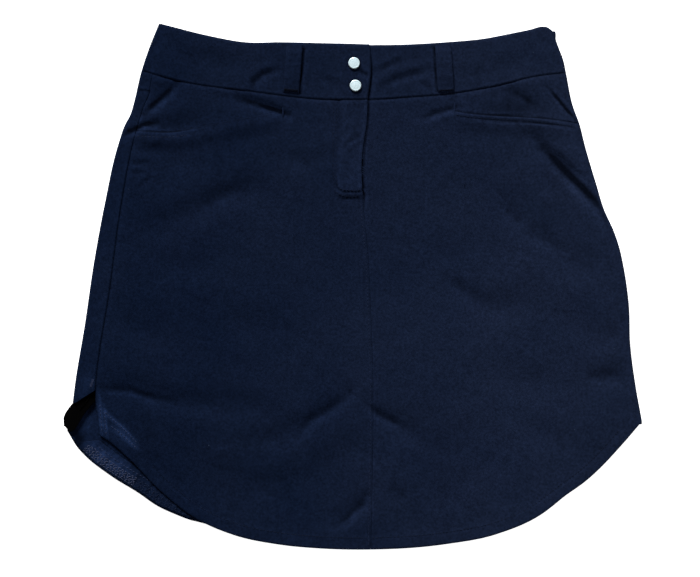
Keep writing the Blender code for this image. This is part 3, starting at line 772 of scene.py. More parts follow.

# %% [markdown]
# ### Skirt cloth
#
# The shell is a fine, matt, navy stretch twill. Up close it has diagonal ridges half a millimetre
# apart, made of yarns that are never quite even. From a step away the eye sees a little mottling,
# a bluer left side and a greyer, lighter right side, which is painted sheen from a light on the
# right, and a few specks of lint. The ridges and yarns go to the bump, the rest to the colour.
# Each vertex also has a number that says how deep it lies below the cloth round it, and the colour
# follows it: painted shade, darker in a crease, and painted light, paler on a ridge.

# %% Skirt cloth
TWILL = 0.00055  # between two ridges
YARN = 0.00040
NAVY_LEFT = (0.0030, 0.0064, 0.0186, 1)
NAVY_RIGHT = (0.0066, 0.0108, 0.0262, 1)
LINT = (0.030, 0.042, 0.070, 1)
PAINTED_SHADE_TONES = (-2.2, 0.60, 3.44, 0.22)  # from the palest painted light to the darkest painted shade, and how light each is


def lint_mask(recipe, scale, size, share):
    """1 on a few specks: a cell's middle, and only in some cells."""
    cells = recipe.node("TexVoronoi", Vector=recipe.place, Scale=scale)
    near = recipe.calc("LESS_THAN", cells.outputs["Distance"], size)
    chance = recipe.node("SeparateColor", Color=cells.outputs["Color"]).outputs["Red"]
    return recipe.calc("MULTIPLY", near, recipe.calc("GREATER_THAN", chance, 1 - share))


def twill_bump(recipe, ridge, yarn, height):
    """Diagonal ridges crossed by fine uneven yarns."""
    ridges = recipe.wave("DIAGONAL", ridge, Distortion=0.6, Detail=2.0, Detail_Scale=2.0)
    both = recipe.calc("ADD", ridges, recipe.wave("X", yarn, Distortion=1.2, Detail=1.0))
    recipe.bump(recipe.calc("ADD", both, recipe.noise(900.0, 3.0)), 0.55, height)


def make_skirt_cloth():
    recipe = Recipe(
        "skirt_cloth_look",
        Roughness=0.72,
        Specular_IOR_Level=0.006,
        Sheen_Weight=0.004,
        Sheen_Roughness=0.45,
        Sheen_Tint=(0.55, 0.65, 0.9, 1),
    )
    # painted sheen: the navy turns lighter and greyer towards the right, with random cloudy tone on
    # top
    across = recipe.node("SeparateXYZ", Vector=recipe.place).outputs["X"]
    cloud = recipe.ramp(recipe.noise(11.0), 0.3, 0.7, -0.18, 0.18)
    painted_sheen_and_tone = recipe.calc("ADD", recipe.ramp(across, -0.20, 0.20, 0.0, 1.0), cloud)
    navy = recipe.mix(painted_sheen_and_tone, NAVY_LEFT, NAVY_RIGHT)
    grain = recipe.ramp(recipe.noise(430.0, Roughness=0.7), 0.3, 0.7, 0.70, 1.34)
    mottle = recipe.ramp(recipe.noise(130.0), 0.3, 0.7, 0.90, 1.10)
    # painted shade and painted light: darker where a point lies below the cloth round it, paler on
    # a ridge
    painted_shading = recipe.node("Attribute", {"attribute_name": "painted_shading"}).outputs["Fac"]
    light = recipe.calc("MULTIPLY", grain, mottle)
    light = recipe.calc("MULTIPLY", light, recipe.ramp(painted_shading, *PAINTED_SHADE_TONES))
    grey = recipe.node("CombineXYZ", X=light, Y=light, Z=light).outputs[0]
    toned = recipe.mix(1.0, navy, grey, "MULTIPLY")
    fine_lint = recipe.calc("MULTIPLY", lint_mask(recipe, 150.0, 0.035, 0.12), 0.35)
    lint = recipe.calc("MAXIMUM", lint_mask(recipe, 55.0, 0.020, 0.16), fine_lint)
    recipe.colour(recipe.mix(lint, toned, LINT))
    twill_bump(recipe, TWILL, YARN, 0.00009)
    return recipe.finish


SKIRT_CLOTH = make_skirt_cloth()
print("skirt cloth:", len(SKIRT_CLOTH.node_tree.nodes), "nodes")

# %% [markdown]
# ### Inner short, zip tape, thread and snaps
#
# The short is a plain black knit with fine upright ribs. The zip's tape is woven, under the fly.
# Five threads are used: one like the cloth for seams that hardly show, navy for those that do, a
# lit one, paler to paint the highlights at the vent's corner, a pale one that paints the highlight
# where the cover seam inside the hem catches the light, and a near-black one for the bar tacks. The
# snap caps are enamelled metal, pearly and light.

# %% Other finishes
def make_knit():
    recipe = Recipe("short_knit_look", Roughness=0.9, Specular_IOR_Level=0.01)
    height = recipe.calc("MULTIPLY", recipe.wave("X", 0.0011), recipe.wave("Y", 0.0008))
    recipe.bump(height, 0.5, 0.0002)
    recipe.colour(recipe.mix(height, (0.0004, 0.0004, 0.0005, 1), (0.0012, 0.0012, 0.0014, 1)))
    return recipe.finish


def make_tape():
    recipe = Recipe("zip_tape_look", Roughness=0.7, Specular_IOR_Level=0.2)
    twill_bump(recipe, 0.0009, 0.0006, 0.00012)
    grain = recipe.noise(300.0)
    recipe.colour(recipe.mix(grain, (0.004, 0.007, 0.016, 1), (0.008, 0.013, 0.028, 1)))
    return recipe.finish


def make_thread(name, *colour):
    recipe = Recipe(name, Roughness=0.5, Specular_IOR_Level=0.03)
    twist = recipe.wave("DIAGONAL", 0.0004)
    darker = [0.55 * part for part in colour]
    recipe.colour(recipe.mix(twist, (*darker, 1), (*colour, 1)))
    recipe.bump(twist, 0.6, 0.00006)
    return recipe.finish


def make_snap_enamel():
    recipe = Recipe("snap_enamel_look", Metallic=0.25, Coat_Weight=0.5, Coat_Roughness=0.12)
    mottle = recipe.noise(700.0, 3.0)
    recipe.colour(recipe.mix(mottle, (0.54, 0.70, 0.76, 1), (0.66, 0.79, 0.83, 1)))
    recipe.fill(recipe.shader, {"Roughness": recipe.ramp(mottle, 0.3, 0.7, 0.22, 0.36)})
    return recipe.finish


KNIT_LOOK = make_knit()
TAPE_LOOK = make_tape()
CLOTH_THREAD = make_thread("cloth_thread", 0.0040, 0.0070, 0.0180)
NAVY_THREAD = make_thread("navy_thread", 0.0110, 0.0170, 0.0400)
LIT_THREAD = make_thread("lit_thread", 0.0210, 0.0290, 0.0640)
PAINTED_HIGHLIGHT_THREAD = make_thread("painted_highlight_thread", 0.044, 0.053, 0.098)
DARK_THREAD = make_thread("dark_thread", 0.0010, 0.0015, 0.0040)
SNAP_ENAMEL = make_snap_enamel()
print("finishes:", [m.name for m in bpy.data.materials if m.name.endswith(("look", "thread"))])

# %% [markdown]
# ## From outlines to cloth
#
# A four-sided pattern piece can be filled with rows and columns of points from its four edges
# alone: this is a Coons patch. Extra lines lie close to the edges, where the cloth dips into its
# seam, and the rest are about two millimetres apart, fine enough for the narrowest crease.

# %% Grids
GRID = 1.9
NEAR_EDGE = (0.4, 0.9, 1.5, 2.4)


def spaced(start, end, count):
    return np.linspace(start, end, count + 1)


def crowded(length, step=GRID):
    """Shares from 0 to 1 along a length in millimetres, with extra lines near both ends."""
    near = np.array(NEAR_EDGE)
    middle = spaced(near[-1], length - near[-1], round((length - 2 * near[-1]) / step))
    marks = np.concatenate([[0], near[:-1], middle, length - near[-2::-1], [length]])
    return marks / length


def corner(x_rule, y_rule, y):
    """The point where an upright edge, x of y, crosses a level one, y of x."""
    for _ in range(40):
        x = x_rule(y)
        y = y_rule(x)
    return float(x), float(y)


def jogged(start, end, shares, step):
    """Columns along an edge with a short upright jog, one on either side of it."""
    last = np.abs(start + (end - start) * shares - step).argmin()
    upto = shares[: last + 1] / shares[last]
    beyond = (shares[last + 1 :] - shares[last + 1]) / (1 - shares[last + 1])
    before = start + (step - HALF - start) * upto
    after = step + HALF + (end - step - HALF) * beyond
    return np.concatenate([before, after])


def plan(top, bottom, left, right, across, down, step=None):
    """Points of a four-sided piece, row by row. top and bottom are y of x, left and right x of y;
    across and down are the shares of its columns and rows."""
    a, b = corner(left, top, 150), corner(right, top, 150)
    c, d = corner(left, bottom, -100), corner(right, bottom, -100)
    top_x = a[0] + (b[0] - a[0]) * across if step is None else jogged(a[0], b[0], across, step)
    low_x = c[0] + (d[0] - c[0]) * across
    left_y = a[1] + (c[1] - a[1]) * down
    right_y = b[1] + (d[1] - b[1]) * down
    upper = np.stack([top_x, top(top_x)], axis=1)[None]
    lower = np.stack([low_x, bottom(low_x)], axis=1)[None]
    first = np.stack([left(left_y), left_y], axis=1)[:, None]
    last = np.stack([right(right_y), right_y], axis=1)[:, None]
    u = across[None, :, None]
    v = down[:, None, None]
    between = (1 - u) * first + u * last + (1 - v) * upper + v * lower
    corners = (1 - v) * ((1 - u) * a + u * np.array(b)) + v * ((1 - u) * c + u * np.array(d))
    return between - corners


def raised(points, height):
    """A plan with its heights, from a rule of x and y or one number."""
    x, y = points[..., 0], points[..., 1]
    z = height(x, y) if callable(height) else np.full(x.shape, float(height))
    return np.stack([x, y, z], axis=-1)


EDGE_REACH = 1.7
EDGES = {"top": np.s_[:1], "bottom": np.s_[-1:], "left": np.s_[:, :1], "right": np.s_[:, -1:]}


def sewn(sheet, **drops):
    """The sheet with its edges dipping into their seams: top, bottom, left, right, in millimetres,
    as one number, or one for each column or row."""
    flat = sheet[..., :2]
    dip = np.zeros(sheet.shape[:2])
    for side, drop in drops.items():
        away = np.linalg.norm(flat - flat[EDGES[side]], axis=2)
        dip = np.maximum(dip, drop * (1 - ease(away / EDGE_REACH)))
    return sheet - dip[..., None] * np.array([0, 0, 1])


print("columns across a front:", len(crowded(250)), "rows down it:", len(crowded(405)))

# %% [markdown]
# At both sides the cloth turns under. The right fold belongs to the front and the left one to the
# back, because the garment was laid with its side seams a little off the folds. turned() gives the
# half circle of points, and turned_under() runs on over the table.

# %% Side folds
TURN_STEPS = 10


def turned(edge, angles, side, radius=TURN, middle=TURN, up=1):
    """Columns round an edge: angle 0 is on top, pi below; side is 1 at the right, else -1."""
    columns = []
    for angle in angles:
        x = edge[:, 0] + side * radius * math.sin(angle)
        z = np.full(len(edge), middle + up * radius * math.cos(angle))
        columns.append((x, edge[:, 1], z))
    return np.array(columns).transpose(2, 0, 1)


def turned_under(sheet, width, upper_shift, lower_shift):
    """The sheet, taken round the right fold and on over the table."""
    edge = sheet[:, -1]
    down = spaced(0, 1, len(edge) - 1)
    shift = upper_shift * (1 - down) ** 6 + lower_shift * down**6
    strip = [
        (edge[:, 0] + TURN - share * width, edge[:, 1] + share * shift, 0 * down)
        for share in spaced(0, 1, 4)[1:]
    ]
    bend = turned(edge, spaced(0, math.pi, TURN_STEPS)[1:], 1)
    return np.concatenate([sheet, bend, np.array(strip).transpose(2, 0, 1)], axis=1)


def floor_then_strip(floor, strip):
    """Table points from right to left, round the left fold, and the strip on top up to its seam."""
    bend = turned(strip[:, 0], spaced(math.pi, 0, TURN_STEPS)[1:-1], -1)
    return np.concatenate([floor, bend, strip], axis=1)


def shifted(rule, by):
    """An edge's rule, moved by a distance."""
    return lambda at: rule(at) + by


def constant(value):
    """The rule of a straight edge."""
    return lambda at: np.full(np.shape(at), float(value))


left_tangent = shifted(left_fold, TURN)
right_tangent = shifted(right_fold, -TURN)
under_band = shifted(band_seam, -HALF)
to_side_seam = shifted(side_seam, -HALF)
print("radius of the side folds:", TURN, "mm")

# %% [markdown]
# ## Shells
#
# Each shell's cut size, which is printed, comes from its own points: the longest row, the longest
# column and the area between them.

# %% Shell maker
HOLLOW_REACH = 3.0
HIGHEST = -0.25  # painted light on a ridge gets no paler than this
SHARP = math.radians(50)


def wear_and_painted_light(x, y):
    """How much paler the colour is here, from the two tables: wear, painted light and painted
    shade.
    """
    return swell_sum(WEAR_AND_PAINTED_LIGHT, x, y) - fold_sum(WEAR_AND_PAINTED_LIGHT_LINES, x, y)


def shading_from_hollows(shape, flat, sheet, at_start=False):
    """Painted shade for each point: how far it lies below the mean of those round it, by a rule of
    x and y, less what the two tables make paler. The sheet's further columns, which run on under
    the garment, get 0."""
    x, y = flat[..., 0], flat[..., 1]
    around = 0
    for turn in spaced(0, 2 * math.pi, 8)[:-1]:
        shift_x, shift_y = HOLLOW_REACH * math.cos(turn), HOLLOW_REACH * math.sin(turn)
        around = around + shape(x + shift_x, y + shift_y) / 8
    below_them = np.maximum(around - shape(x, y), HIGHEST)
    spare = sheet.shape[1] - flat.shape[1]
    return np.pad(below_them - wear_and_painted_light(x, y), ((0, 0), (spare, 0) if at_start else (0, spare)))


def cloth(name, sheet, thick, finish, ring, leave_out, painted_shading):
    """A shell from rows of outer points. ring joins the last column to the first one, leave_out
    marks the cells that the piece hasn't, and hollow has one number for each point."""
    index = np.arange(sheet.shape[0] * sheet.shape[1]).reshape(sheet.shape[:2])
    across = np.roll(index, -1, axis=1)
    faces = np.stack([index[:-1], index[1:], across[1:], across[:-1]], axis=2)
    faces = faces if ring else faces[:, :-1]
    faces = faces.reshape(-1, 4) if leave_out is None else faces[~leave_out]
    used = np.unique(faces)
    places = np.full(index.size, -1)
    places[used] = np.arange(len(used))
    mesh = bpy.data.meshes.new(name)
    mesh.from_pydata(sheet.reshape(-1, 3)[used] * MM, [], places[faces])
    # the number that the cloth's colour follows, as painted shade in creases and painted light on
    # ridges
    if painted_shading is not None:
        depth = mesh.attributes.new("painted_shading", "FLOAT", "POINT")
        depth.data.foreach_set("value", painted_shading.reshape(-1)[used].astype(np.float32))
    mesh.materials.append(finish)
    mesh.shade_smooth()
    mesh.set_sharp_from_angle(angle=SHARP)
    piece = put(name, mesh)
    wall = piece.modifiers.new("wall", "SOLIDIFY")
    wall.thickness = thick * MM
    wall.offset = -1
    return piece


def cut_of(sheet, ring, leave_out):
    """Width, length and area in metres that a sheet has when it lies flat."""
    closed = np.concatenate([sheet, sheet[:, :1]], axis=1) if ring else sheet
    right = np.diff(closed, axis=1)
    down = np.diff(closed, axis=0)
    cells = np.linalg.norm(np.cross(right[:-1], down[:, :-1]), axis=2)
    if leave_out is not None:
        cells = np.where(leave_out, 0, cells)
        right = np.where(np.vstack([leave_out, leave_out[-1:]])[..., None], 0, right)
        down = down[:, :-1][:, ~leave_out[-1]]
    width = np.linalg.norm(right, axis=2).sum(axis=1).max()
    length = np.linalg.norm(down, axis=2).sum(axis=0).max()
    return width * MM, length * MM, cells.sum() * MM * MM


def ride(piece, slot, node=None):
    """Hangs a piece on the body, in place of its solid if it has one."""
    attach(piece, "root")
    if node:
        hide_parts(node)


def shell(name, node, sheet, painted_shading=None, thick=SHELL, ring=False, leave_out=None):
    """A piece of skirt cloth, or, as a ring, of knit, with its cut worked out and printed."""
    finish, slot = (KNIT_LOOK, "short_knit") if ring else (SKIRT_CLOTH, "skirt_cloth")
    piece = cloth(name, sheet, thick, finish, ring, leave_out, painted_shading)
    width, length, area = cut_of(sheet, ring, leave_out)
    ride(piece, slot, node)
    print(f"{name}: {width / MM:.0f} x {length / MM:.0f} mm, {area:.4f} m2")


print("shell thickness:", SHELL, "mm")

# %% [markdown]
# ## The fronts
#
# The two fronts meet at the centre-front seam. Above it, the left front is the fly, which lies over
# the right one. Their upper edges jog at the inner end of each pocket, where the mouth begins. The
# right front also turns under at the side fold. Every edge that is sewn dips a little.

# %% Left front
SEAM_DIP = 0.45
MOUTH_DIP = 0.15  # the pocket mouths are folded edges, not seams
SIDE_DIP = 0.3
END_DIP = 0.12  # the short seam at the inner end of a pocket, well pressed
HEM_DIP = 0.25
FRONT_LENGTH = 404
SHUT_BELOW, SHUT_REACH = -233, 3  # the centre seam is held shut where it ends at the hem


def centre_half(y):
    """Half the gap at the centre-front seam."""
    return HALF * (0.1 + 0.9 * ease((y - SHUT_BELOW) / SHUT_REACH))


def front_plan(mouth, pocket_end, side, left, right, width):
    """A front's plan, with the dip of its upper edge: the band's seam, and, from the inner end of
    the pocket on, the pocket's mouth. side is 1 where that is to the right."""

    def upper_edge(x):
        return np.where(side * (x - pocket_end) > 0, mouth(x), band_seam(x)) - HALF

    shares = crowded(width), crowded(FRONT_LENGTH)
    flat = plan(upper_edge, front_hem, left, right, *shares, pocket_end)
    beyond = side * (flat[0, :, 0] - pocket_end) > 0
    return flat, np.where(beyond, MOUTH_DIP, SEAM_DIP)


def make_left_front():
    def right_edge(y):
        return centre(y) - centre_half(y)

    left_edge = shifted(side_seam, HALF)
    flat, dip = front_plan(left_mouth, LEFT_POCKET_END, -1, left_edge, right_edge, 244)
    top = raised(flat, front_left_top)
    sheet = sewn(top, top=dip, left=SIDE_DIP, right=SEAM_DIP, bottom=HEM_DIP)
    shell("left_front", "front_left", sheet, shading_from_hollows(front_shading, flat, sheet))


make_left_front()

# %% [markdown]
# The right front is made in the same way, with two additions. Its inner edge steps under the fly,
# as an underlap does, and its outer edge goes on round the fold to the side seam, which is hidden
# below. turned_under() adds those columns to the grid, so the fold is one smooth sheet.

# %% Right front
def fly_underlap(y):
    """The right front's inner edge: under the fly, then along the centre-front seam."""
    under = (FLY_UNDERLAP + SEAM) * ease((y - FLY_FOOT - 10) / 14)
    return centre(y) + centre_half(y) - under


def make_right_front():
    flat, dip = front_plan(right_mouth, RIGHT_POCKET_END, 1, fly_underlap, right_tangent, 234)
    top = sewn(raised(flat, front_right_top), top=dip, left=SEAM_DIP, bottom=HEM_DIP)
    sheet = turned_under(top, SIDE_ALLOWANCE, 0, 9)
    shell("right_front", "front_right", sheet, shading_from_hollows(front_shading, flat, sheet))


make_right_front()

# %% [markdown]
# ## Hip pieces
#
# A slanted pocket shows a piece of the hip behind its mouth. Each hip piece runs on a few
# millimetres under the mouth's edge, so that no gap opens between the two.

# %% Hip pieces
POCKET_CLOSES = 24  # the hip piece is sewn to the front edge to edge, this far from the side


def hip_edge(mouth, pocket_end, outer):
    """Lower edge of a hip piece: under the pocket mouth, and back to a plain seam at both ends."""

    def edge(x):
        inner = ease((np.abs(x - pocket_end) - 5) / 7)
        under = (POCKET_UNDER + SEAM) * ease((np.abs(outer - x) - POCKET_CLOSES) / 14)
        return mouth(x) + HALF - inner * under

    return edge


def make_left_hip():
    low = hip_edge(left_mouth, LEFT_POCKET_END, -192)
    side, inner_end = shifted(side_seam, HALF), constant(LEFT_POCKET_END - HALF)
    flat = plan(under_band, low, side, inner_end, crowded(130), crowded(40))
    side_dip = SIDE_DIP * (1 - 0.8 * ease((flat[:, :1, 1] - 173) / 4))
    sheet = sewn(raised(flat, front_top), top=SEAM_DIP, left=side_dip, right=END_DIP)
    painted_shading = shading_from_hollows(front_shading, flat, sheet)
    shell("left_hip", "pocket_side_left", sheet, painted_shading)


def make_right_hip():
    low = hip_edge(right_mouth, RIGHT_POCKET_END, 201)
    inner_end = constant(RIGHT_POCKET_END + HALF)
    flat = plan(under_band, low, inner_end, right_tangent, crowded(102), crowded(30))
    top = sewn(raised(flat, front_top), top=SEAM_DIP, left=END_DIP)
    sheet = turned_under(top, SIDE_ALLOWANCE, 0, 0)
    painted_shading = shading_from_hollows(front_shading, flat, sheet)
    shell("right_hip", "pocket_side_right", sheet, painted_shading)


make_left_hip()
make_right_hip()

# %% [markdown]
# ## Back and yoke
#
# The back lies on the table, rolls over the left fold and ends at the side seam on top. At the open
# vent it stays below, and its lower edge swings out to the left. The yoke above it shows only as a
# short seam on the roll. Cells that the back hasn't, beside the vent, are left out of the grid.

# %% Back and yoke
VENT_OPENS = 3  # the hidden vent under the right fold
VENT_LENGTH = 19  # of the open vent's back edge, from the side seam out to the fold
BACK_COLUMNS, CROWDING = 90, 1.4  # the columns lie closer at the open vent
ROLL_STEPS = 8  # columns of the strip on top of the left fold


def floor_right(y):
    """The back's right edge, at the side seam under the right fold."""
    vent = VENT_OPENS * ease((VENT_TOP - y) / 40)
    return right_fold(y) - SIDE_ALLOWANCE - SEAM - vent


def back_hem(x):
    """Open at the left, and from there on tucked under the front's hem."""
    tucked = front_hem(x) + TUCK * ease((x - HEM_JOIN) / 30)
    joined = ease((x - HEM_JOIN + 14) / 24)
    return (1 - joined) * back_hem_left(x) + joined * tucked


def rolled_plans(top, low_floor, low_strip, across, down):
    """The part on the table, from right to left, and the strip on top up to the side seam."""
    floor = plan(top, low_floor, left_tangent, floor_right, across, down)[:, ::-1]
    strip = plan(top, low_strip, left_tangent, to_side_seam, spaced(0, 1, ROLL_STEPS), down)
    return raised(floor, 0), strip


def make_yoke():
    shares = spaced(0, 1, 60), crowded(40, 4)
    floor, strip = rolled_plans(under_band, yoke_seam, yoke_seam, *shares)
    upper = sewn(raised(strip, front_top), right=0.06, top=SIDE_DIP, bottom=0.15)
    sheet = floor_then_strip(floor, upper)
    shell("yoke", "back_yoke", sheet, shading_from_hollows(roll_shading, strip, sheet, at_start=True))


def vent_line(x):
    """The vent's back edge, from the side seam out to the fold."""
    out = np.clip((side_seam(VENT_TOP) - x) / VENT_LENGTH, 0, 1)
    return VENT_TOP + (VENT_FOLD - VENT_TOP) * out


def make_back():
    down = crowded(250, 2.5)
    across = spaced(0, 1, BACK_COLUMNS) ** CROWDING
    top, level = shifted(yoke_seam, -SEAM), constant(VENT_FOLD)
    floor, strip = rolled_plans(top, level, vent_line, across, down)
    upper = sewn(raised(strip, front_top), right=SIDE_DIP, top=0.15)
    rolled = floor_then_strip(floor, upper)
    tail = plan(level, back_hem, back_edge, floor_right, across, crowded(110, 3))[1:, ::-1]
    spare = ((0, 0), (0, rolled.shape[1] - tail.shape[1]))
    sheet = np.concatenate([rolled, np.pad(raised(tail, 0), (*spare, (0, 0)))])
    # painted light and shade: the inside of the back in the open vent, which lies in shade under
    # the front
    inside = np.pad(-wear_and_painted_light(tail[..., 0], tail[..., 1]), spare)
    painted_shading = np.concatenate([shading_from_hollows(roll_shading, strip, rolled, at_start=True), inside])
    beyond_vent = np.zeros((sheet.shape[0] - 1, sheet.shape[1] - 1), bool)
    beyond_vent[len(down) - 1 :, len(across) - 1 :] = True
    shell("back", "back_panel", sheet, painted_shading, leave_out=beyond_vent)


make_yoke()
make_back()

# %% [markdown]
# ## Waistband
#
# The waistband is two layers with a stiffening between them, so it is thicker and flatter than the
# skirt. Its left end lies over its right one, under the snaps. It carries a few creases of its own,
# and the cloth is pressed down beside each belt loop.

# %% Waistband rules
BAND_CREASES = folds(
    (3.2, 1.2, 0.4, (-91.5, 176), (-89, 184), (-81, 191), (-68, 195.5)),
    (8, 0.5, 0.3, (-132, 205), (-112, 199), (-96, 203)),
    (8, 0.4, 0.3, (-166, 214), (-140, 204), (-118, 208)),
    (3.6, 0.9, 0.35, (27, 179), (38, 186.6), (53, 191), (70, 195)),
    (3.0, 0.55, 0.3, (19, 194), (26, 196), (33, 199), (48, 206)),
    (3.0, 0.4, 0.2, (60, 184), (72, 178)),
    (2.0, 0.6, 0.2, (6, 195), (12, 191), (15, 189)),
    (8, 0.5, 0.3, (120, 205), (141, 200), (160, 204)),
    (7, 0.4, 0.2, (100, 190), (118, 194), (134, 191)),
    (4, 0.4, 0.2, (-30, 190), (-18, 184), (-8, 178)),
)
SNAPS = (("snap_cap_upper", "snap_upper", 1.4, 200.7), ("snap_cap_lower", "snap_lower", 2.7, 180.5))
SNAP_RADIUS = 5.1
LOOP_WIDTH = 14.5
Loop = namedtuple("Loop", "name node band upper lower gap_side tack")
LOOPS = (
    Loop("loop_left", "belt_loop_left", "waistband_left", (-51.9, 218.2), (-55.3, 174.0), 1, 3.4),
    Loop("loop_right", "belt_loop_right", "waistband_right", (81.2, 218.8), (84.3, 175.2), -1, 1.5),
)
PRESS_DEPTH, PRESS_WIDTH = 0.9, 1.1  # beside a belt loop
RING_DEPTH, RING_WIDTH = 0.5, 0.7  # round a snap


def beside_loops(x, y):
    """Narrow pressed lines along the side of each loop that faces the fly."""
    total = 0
    for loop in LOOPS:
        shift = loop.gap_side * (LOOP_WIDTH / 2 + 0.6)
        line = ((loop.upper[0] + shift, loop.upper[1] - 4), (loop.lower[0] + shift, loop.lower[1]))
        total = total - PRESS_DEPTH * bell(beside(line, x, y)[0], PRESS_WIDTH)
    return total


def round_snaps(x, y):
    """The ring that each snap presses into the band."""
    ring = 0
    for _, _, middle_x, middle_y in SNAPS:
        away = np.hypot(x - middle_x, y - middle_y)
        ring = ring - RING_DEPTH * bell(away - SNAP_RADIUS - 0.4, RING_WIDTH)
    return ring


def band_shading(x, y):
    """What the band's painted shade and light follow: its creases, its pressed lines, and painted
    shadow along its seam and beside the overlap's edge.
    """
    pressed = fold_sum(BAND_CREASES, x, y) + beside_loops(x, y) + round_snaps(x, y)
    edge = ease((214 - y) / 14) * bell(x - centre(y), 1.0)
    return pressed - 0.45 * bell(y - band_seam(x), LINE) - 0.6 * edge


def band_top(x, y):
    """Outer surface of the front waistband, without overlap and underlap."""
    soft = fold_sum(BAND_CREASES, x, y) + beside_loops(x, y) + round_snaps(x, y)
    soft = soft + 0.7 * unevenness(x, y) + puckers(x, y - band_seam(x), 6)
    soft = soft + 0.7 * puckers(x + 40, band_edge(x) - y, 4)
    return FOLD_TOP + (BAND_TOP + soft - FOLD_TOP) * ease(inside_folds(x, y) / FOLD_REACH)


def band_left_top(x, y):
    return band_top(x, y) + BAND_LIFT * ease((x - centre(y) + UNDERLAP + 10) / 9)


def band_right_top(x, y):
    return band_top(x, y) - BAND_DIP * ease((centre(y) + 8 - x) / 7)


BAND_TOPS = {"waistband_left": band_left_top, "waistband_right": band_right_top}
print("waistband:", round(float(band_edge(0) - band_seam(0))), "mm deep")

# %% [markdown]
# The band is three pieces: a front half on each side and the back. It is cloth on both faces with
# a stiffener between, so its shell is thicker. The left half ends above the fly's edge and lies
# on the end of the right half, which runs on under it. Both turn under at the sides.

# %% Waistband pieces
BAND_DIPS = {"top": 0.7, "bottom": 0.5}
BACK_EDGE = shifted(band_edge, -TUCK)  # the back's upper edge stays out of sight
LOW_EDGE = shifted(band_seam, HALF)


def make_band_left():
    """Front waistband with the overlap, round the left fold to its hidden end on the table."""
    down = crowded(50, 1.6)
    hidden_end = shifted(left_fold, SIDE_ALLOWANCE)
    floor = plan(BACK_EDGE, LOW_EDGE, left_tangent, hidden_end, spaced(0, 1, 4), down)[:, ::-1]
    front = plan(band_edge, LOW_EDGE, left_tangent, centre, crowded(190), down)
    floor[:, -1] = front[:, 0]
    upper = sewn(raised(front, band_left_top), right=0.5, **BAND_DIPS)
    sheet = floor_then_strip(raised(floor, 0), upper)
    painted_shading = shading_from_hollows(band_shading, front, sheet, at_start=True)
    shell("waistband_left", "band_left", sheet, painted_shading, BAND)


def make_band_right():
    """Front waistband with the underlap, round the right fold to its hidden end on the table."""
    shares = crowded(195), crowded(50, 1.6)
    lowered, start = shifted(band_edge, -0.4), shifted(centre, -UNDERLAP)
    flat = plan(lowered, LOW_EDGE, start, right_tangent, *shares)
    upper = sewn(raised(flat, band_right_top), **BAND_DIPS)
    sheet = turned_under(upper, SIDE_ALLOWANCE, -TUCK, 0)
    painted_shading = shading_from_hollows(band_shading, flat, sheet)
    shell("waistband_right", "band_right", sheet, painted_shading, BAND)


def make_band_back():
    inset = SIDE_ALLOWANCE + 2 * SEAM
    ends = shifted(left_fold, inset), shifted(right_fold, -inset)
    flat = plan(BACK_EDGE, LOW_EDGE, *ends, spaced(0, 1, 70), spaced(0, 1, 10))
    shell("waistband_back", "band_back", raised(flat[:, ::-1], 0), thick=BAND)


make_band_left()
make_band_right()
make_band_back()

# %% [markdown]
# ## Belt loops
#
# A belt loop is a narrow folded strip, sewn down at both ends and free in between, where the belt
# goes. Its edges roll over and it arches off the band. Beside the side that faces the fly, a narrow
# groove pressed into the band, darkened further with painted shade, gives the thin dark line there.

# %% Belt loops
LOOP_THICK = 0.8
LOOP_ARCH = 0.7
LOOP_RISE = 0.35
LOOP_SEWN = 0.2  # share of its thickness that shows where it runs into the band's upper seam
LIE = 0.3  # gap under what lies on the waistband
LOOP_ROLL = 0.35


def loop_sheet(loop):
    """Rows of points from the loop's upper end to its lower one."""
    upper, lower = np.array(loop.upper), np.array(loop.lower)
    way = (lower - upper) / np.linalg.norm(lower - upper)
    across = np.array([-way[1], way[0]])
    run = crowded(np.linalg.norm(lower - upper), 1.2)[:, None]
    share = spaced(-0.5, 0.5, 12)[None]
    x = upper[0] + run * (lower - upper)[0] + share * LOOP_WIDTH * across[0]
    y = upper[1] + run * (lower - upper)[1] + share * LOOP_WIDTH * across[1]
    arch = LOOP_ARCH * ease(run / LOOP_RISE) * ease((1 - run) / LOOP_RISE)
    roll = -LOOP_ROLL * (2 * np.abs(share)) ** 6 + 0.05 * np.sin(run * 47)
    rise = LOOP_SEWN + (1 - LOOP_SEWN) * ease(run / 0.22)
    level = BAND_TOPS[loop.band](x * 0 + loop.lower[0], y) + rise * (LIE + LOOP_THICK) + arch
    return np.stack([x + 0 * run, y, level + roll], axis=-1)


for loop in LOOPS:
    sheet = sewn(loop_sheet(loop), bottom=0.5)
    shell(loop.name, loop.node, sheet, thick=LOOP_THICK)

# %% [markdown]
# ## Snaps
#
# Each snap's cap is a thin dome with a rolled rim. Its half section is a short list of radius and
# height, and spin() turns it round. The spun rings are joined with remove_doubles at the axis.

# %% Snaps
SNAP_SECTION = (
    (0, 0), (4.4, 0), (4.85, 0.12), (5.07, 0.45), (SNAP_RADIUS, 0.8), (5.0, 1.12), (4.75, 1.38),
    (4.45, 1.53), (4.2, 1.54), (4.0, 1.46), (3.8, 1.43), (3.3, 1.5), (2.4, 1.6), (1.2, 1.67),
    (0, 1.7),
)
SNAP_SIDES = 72


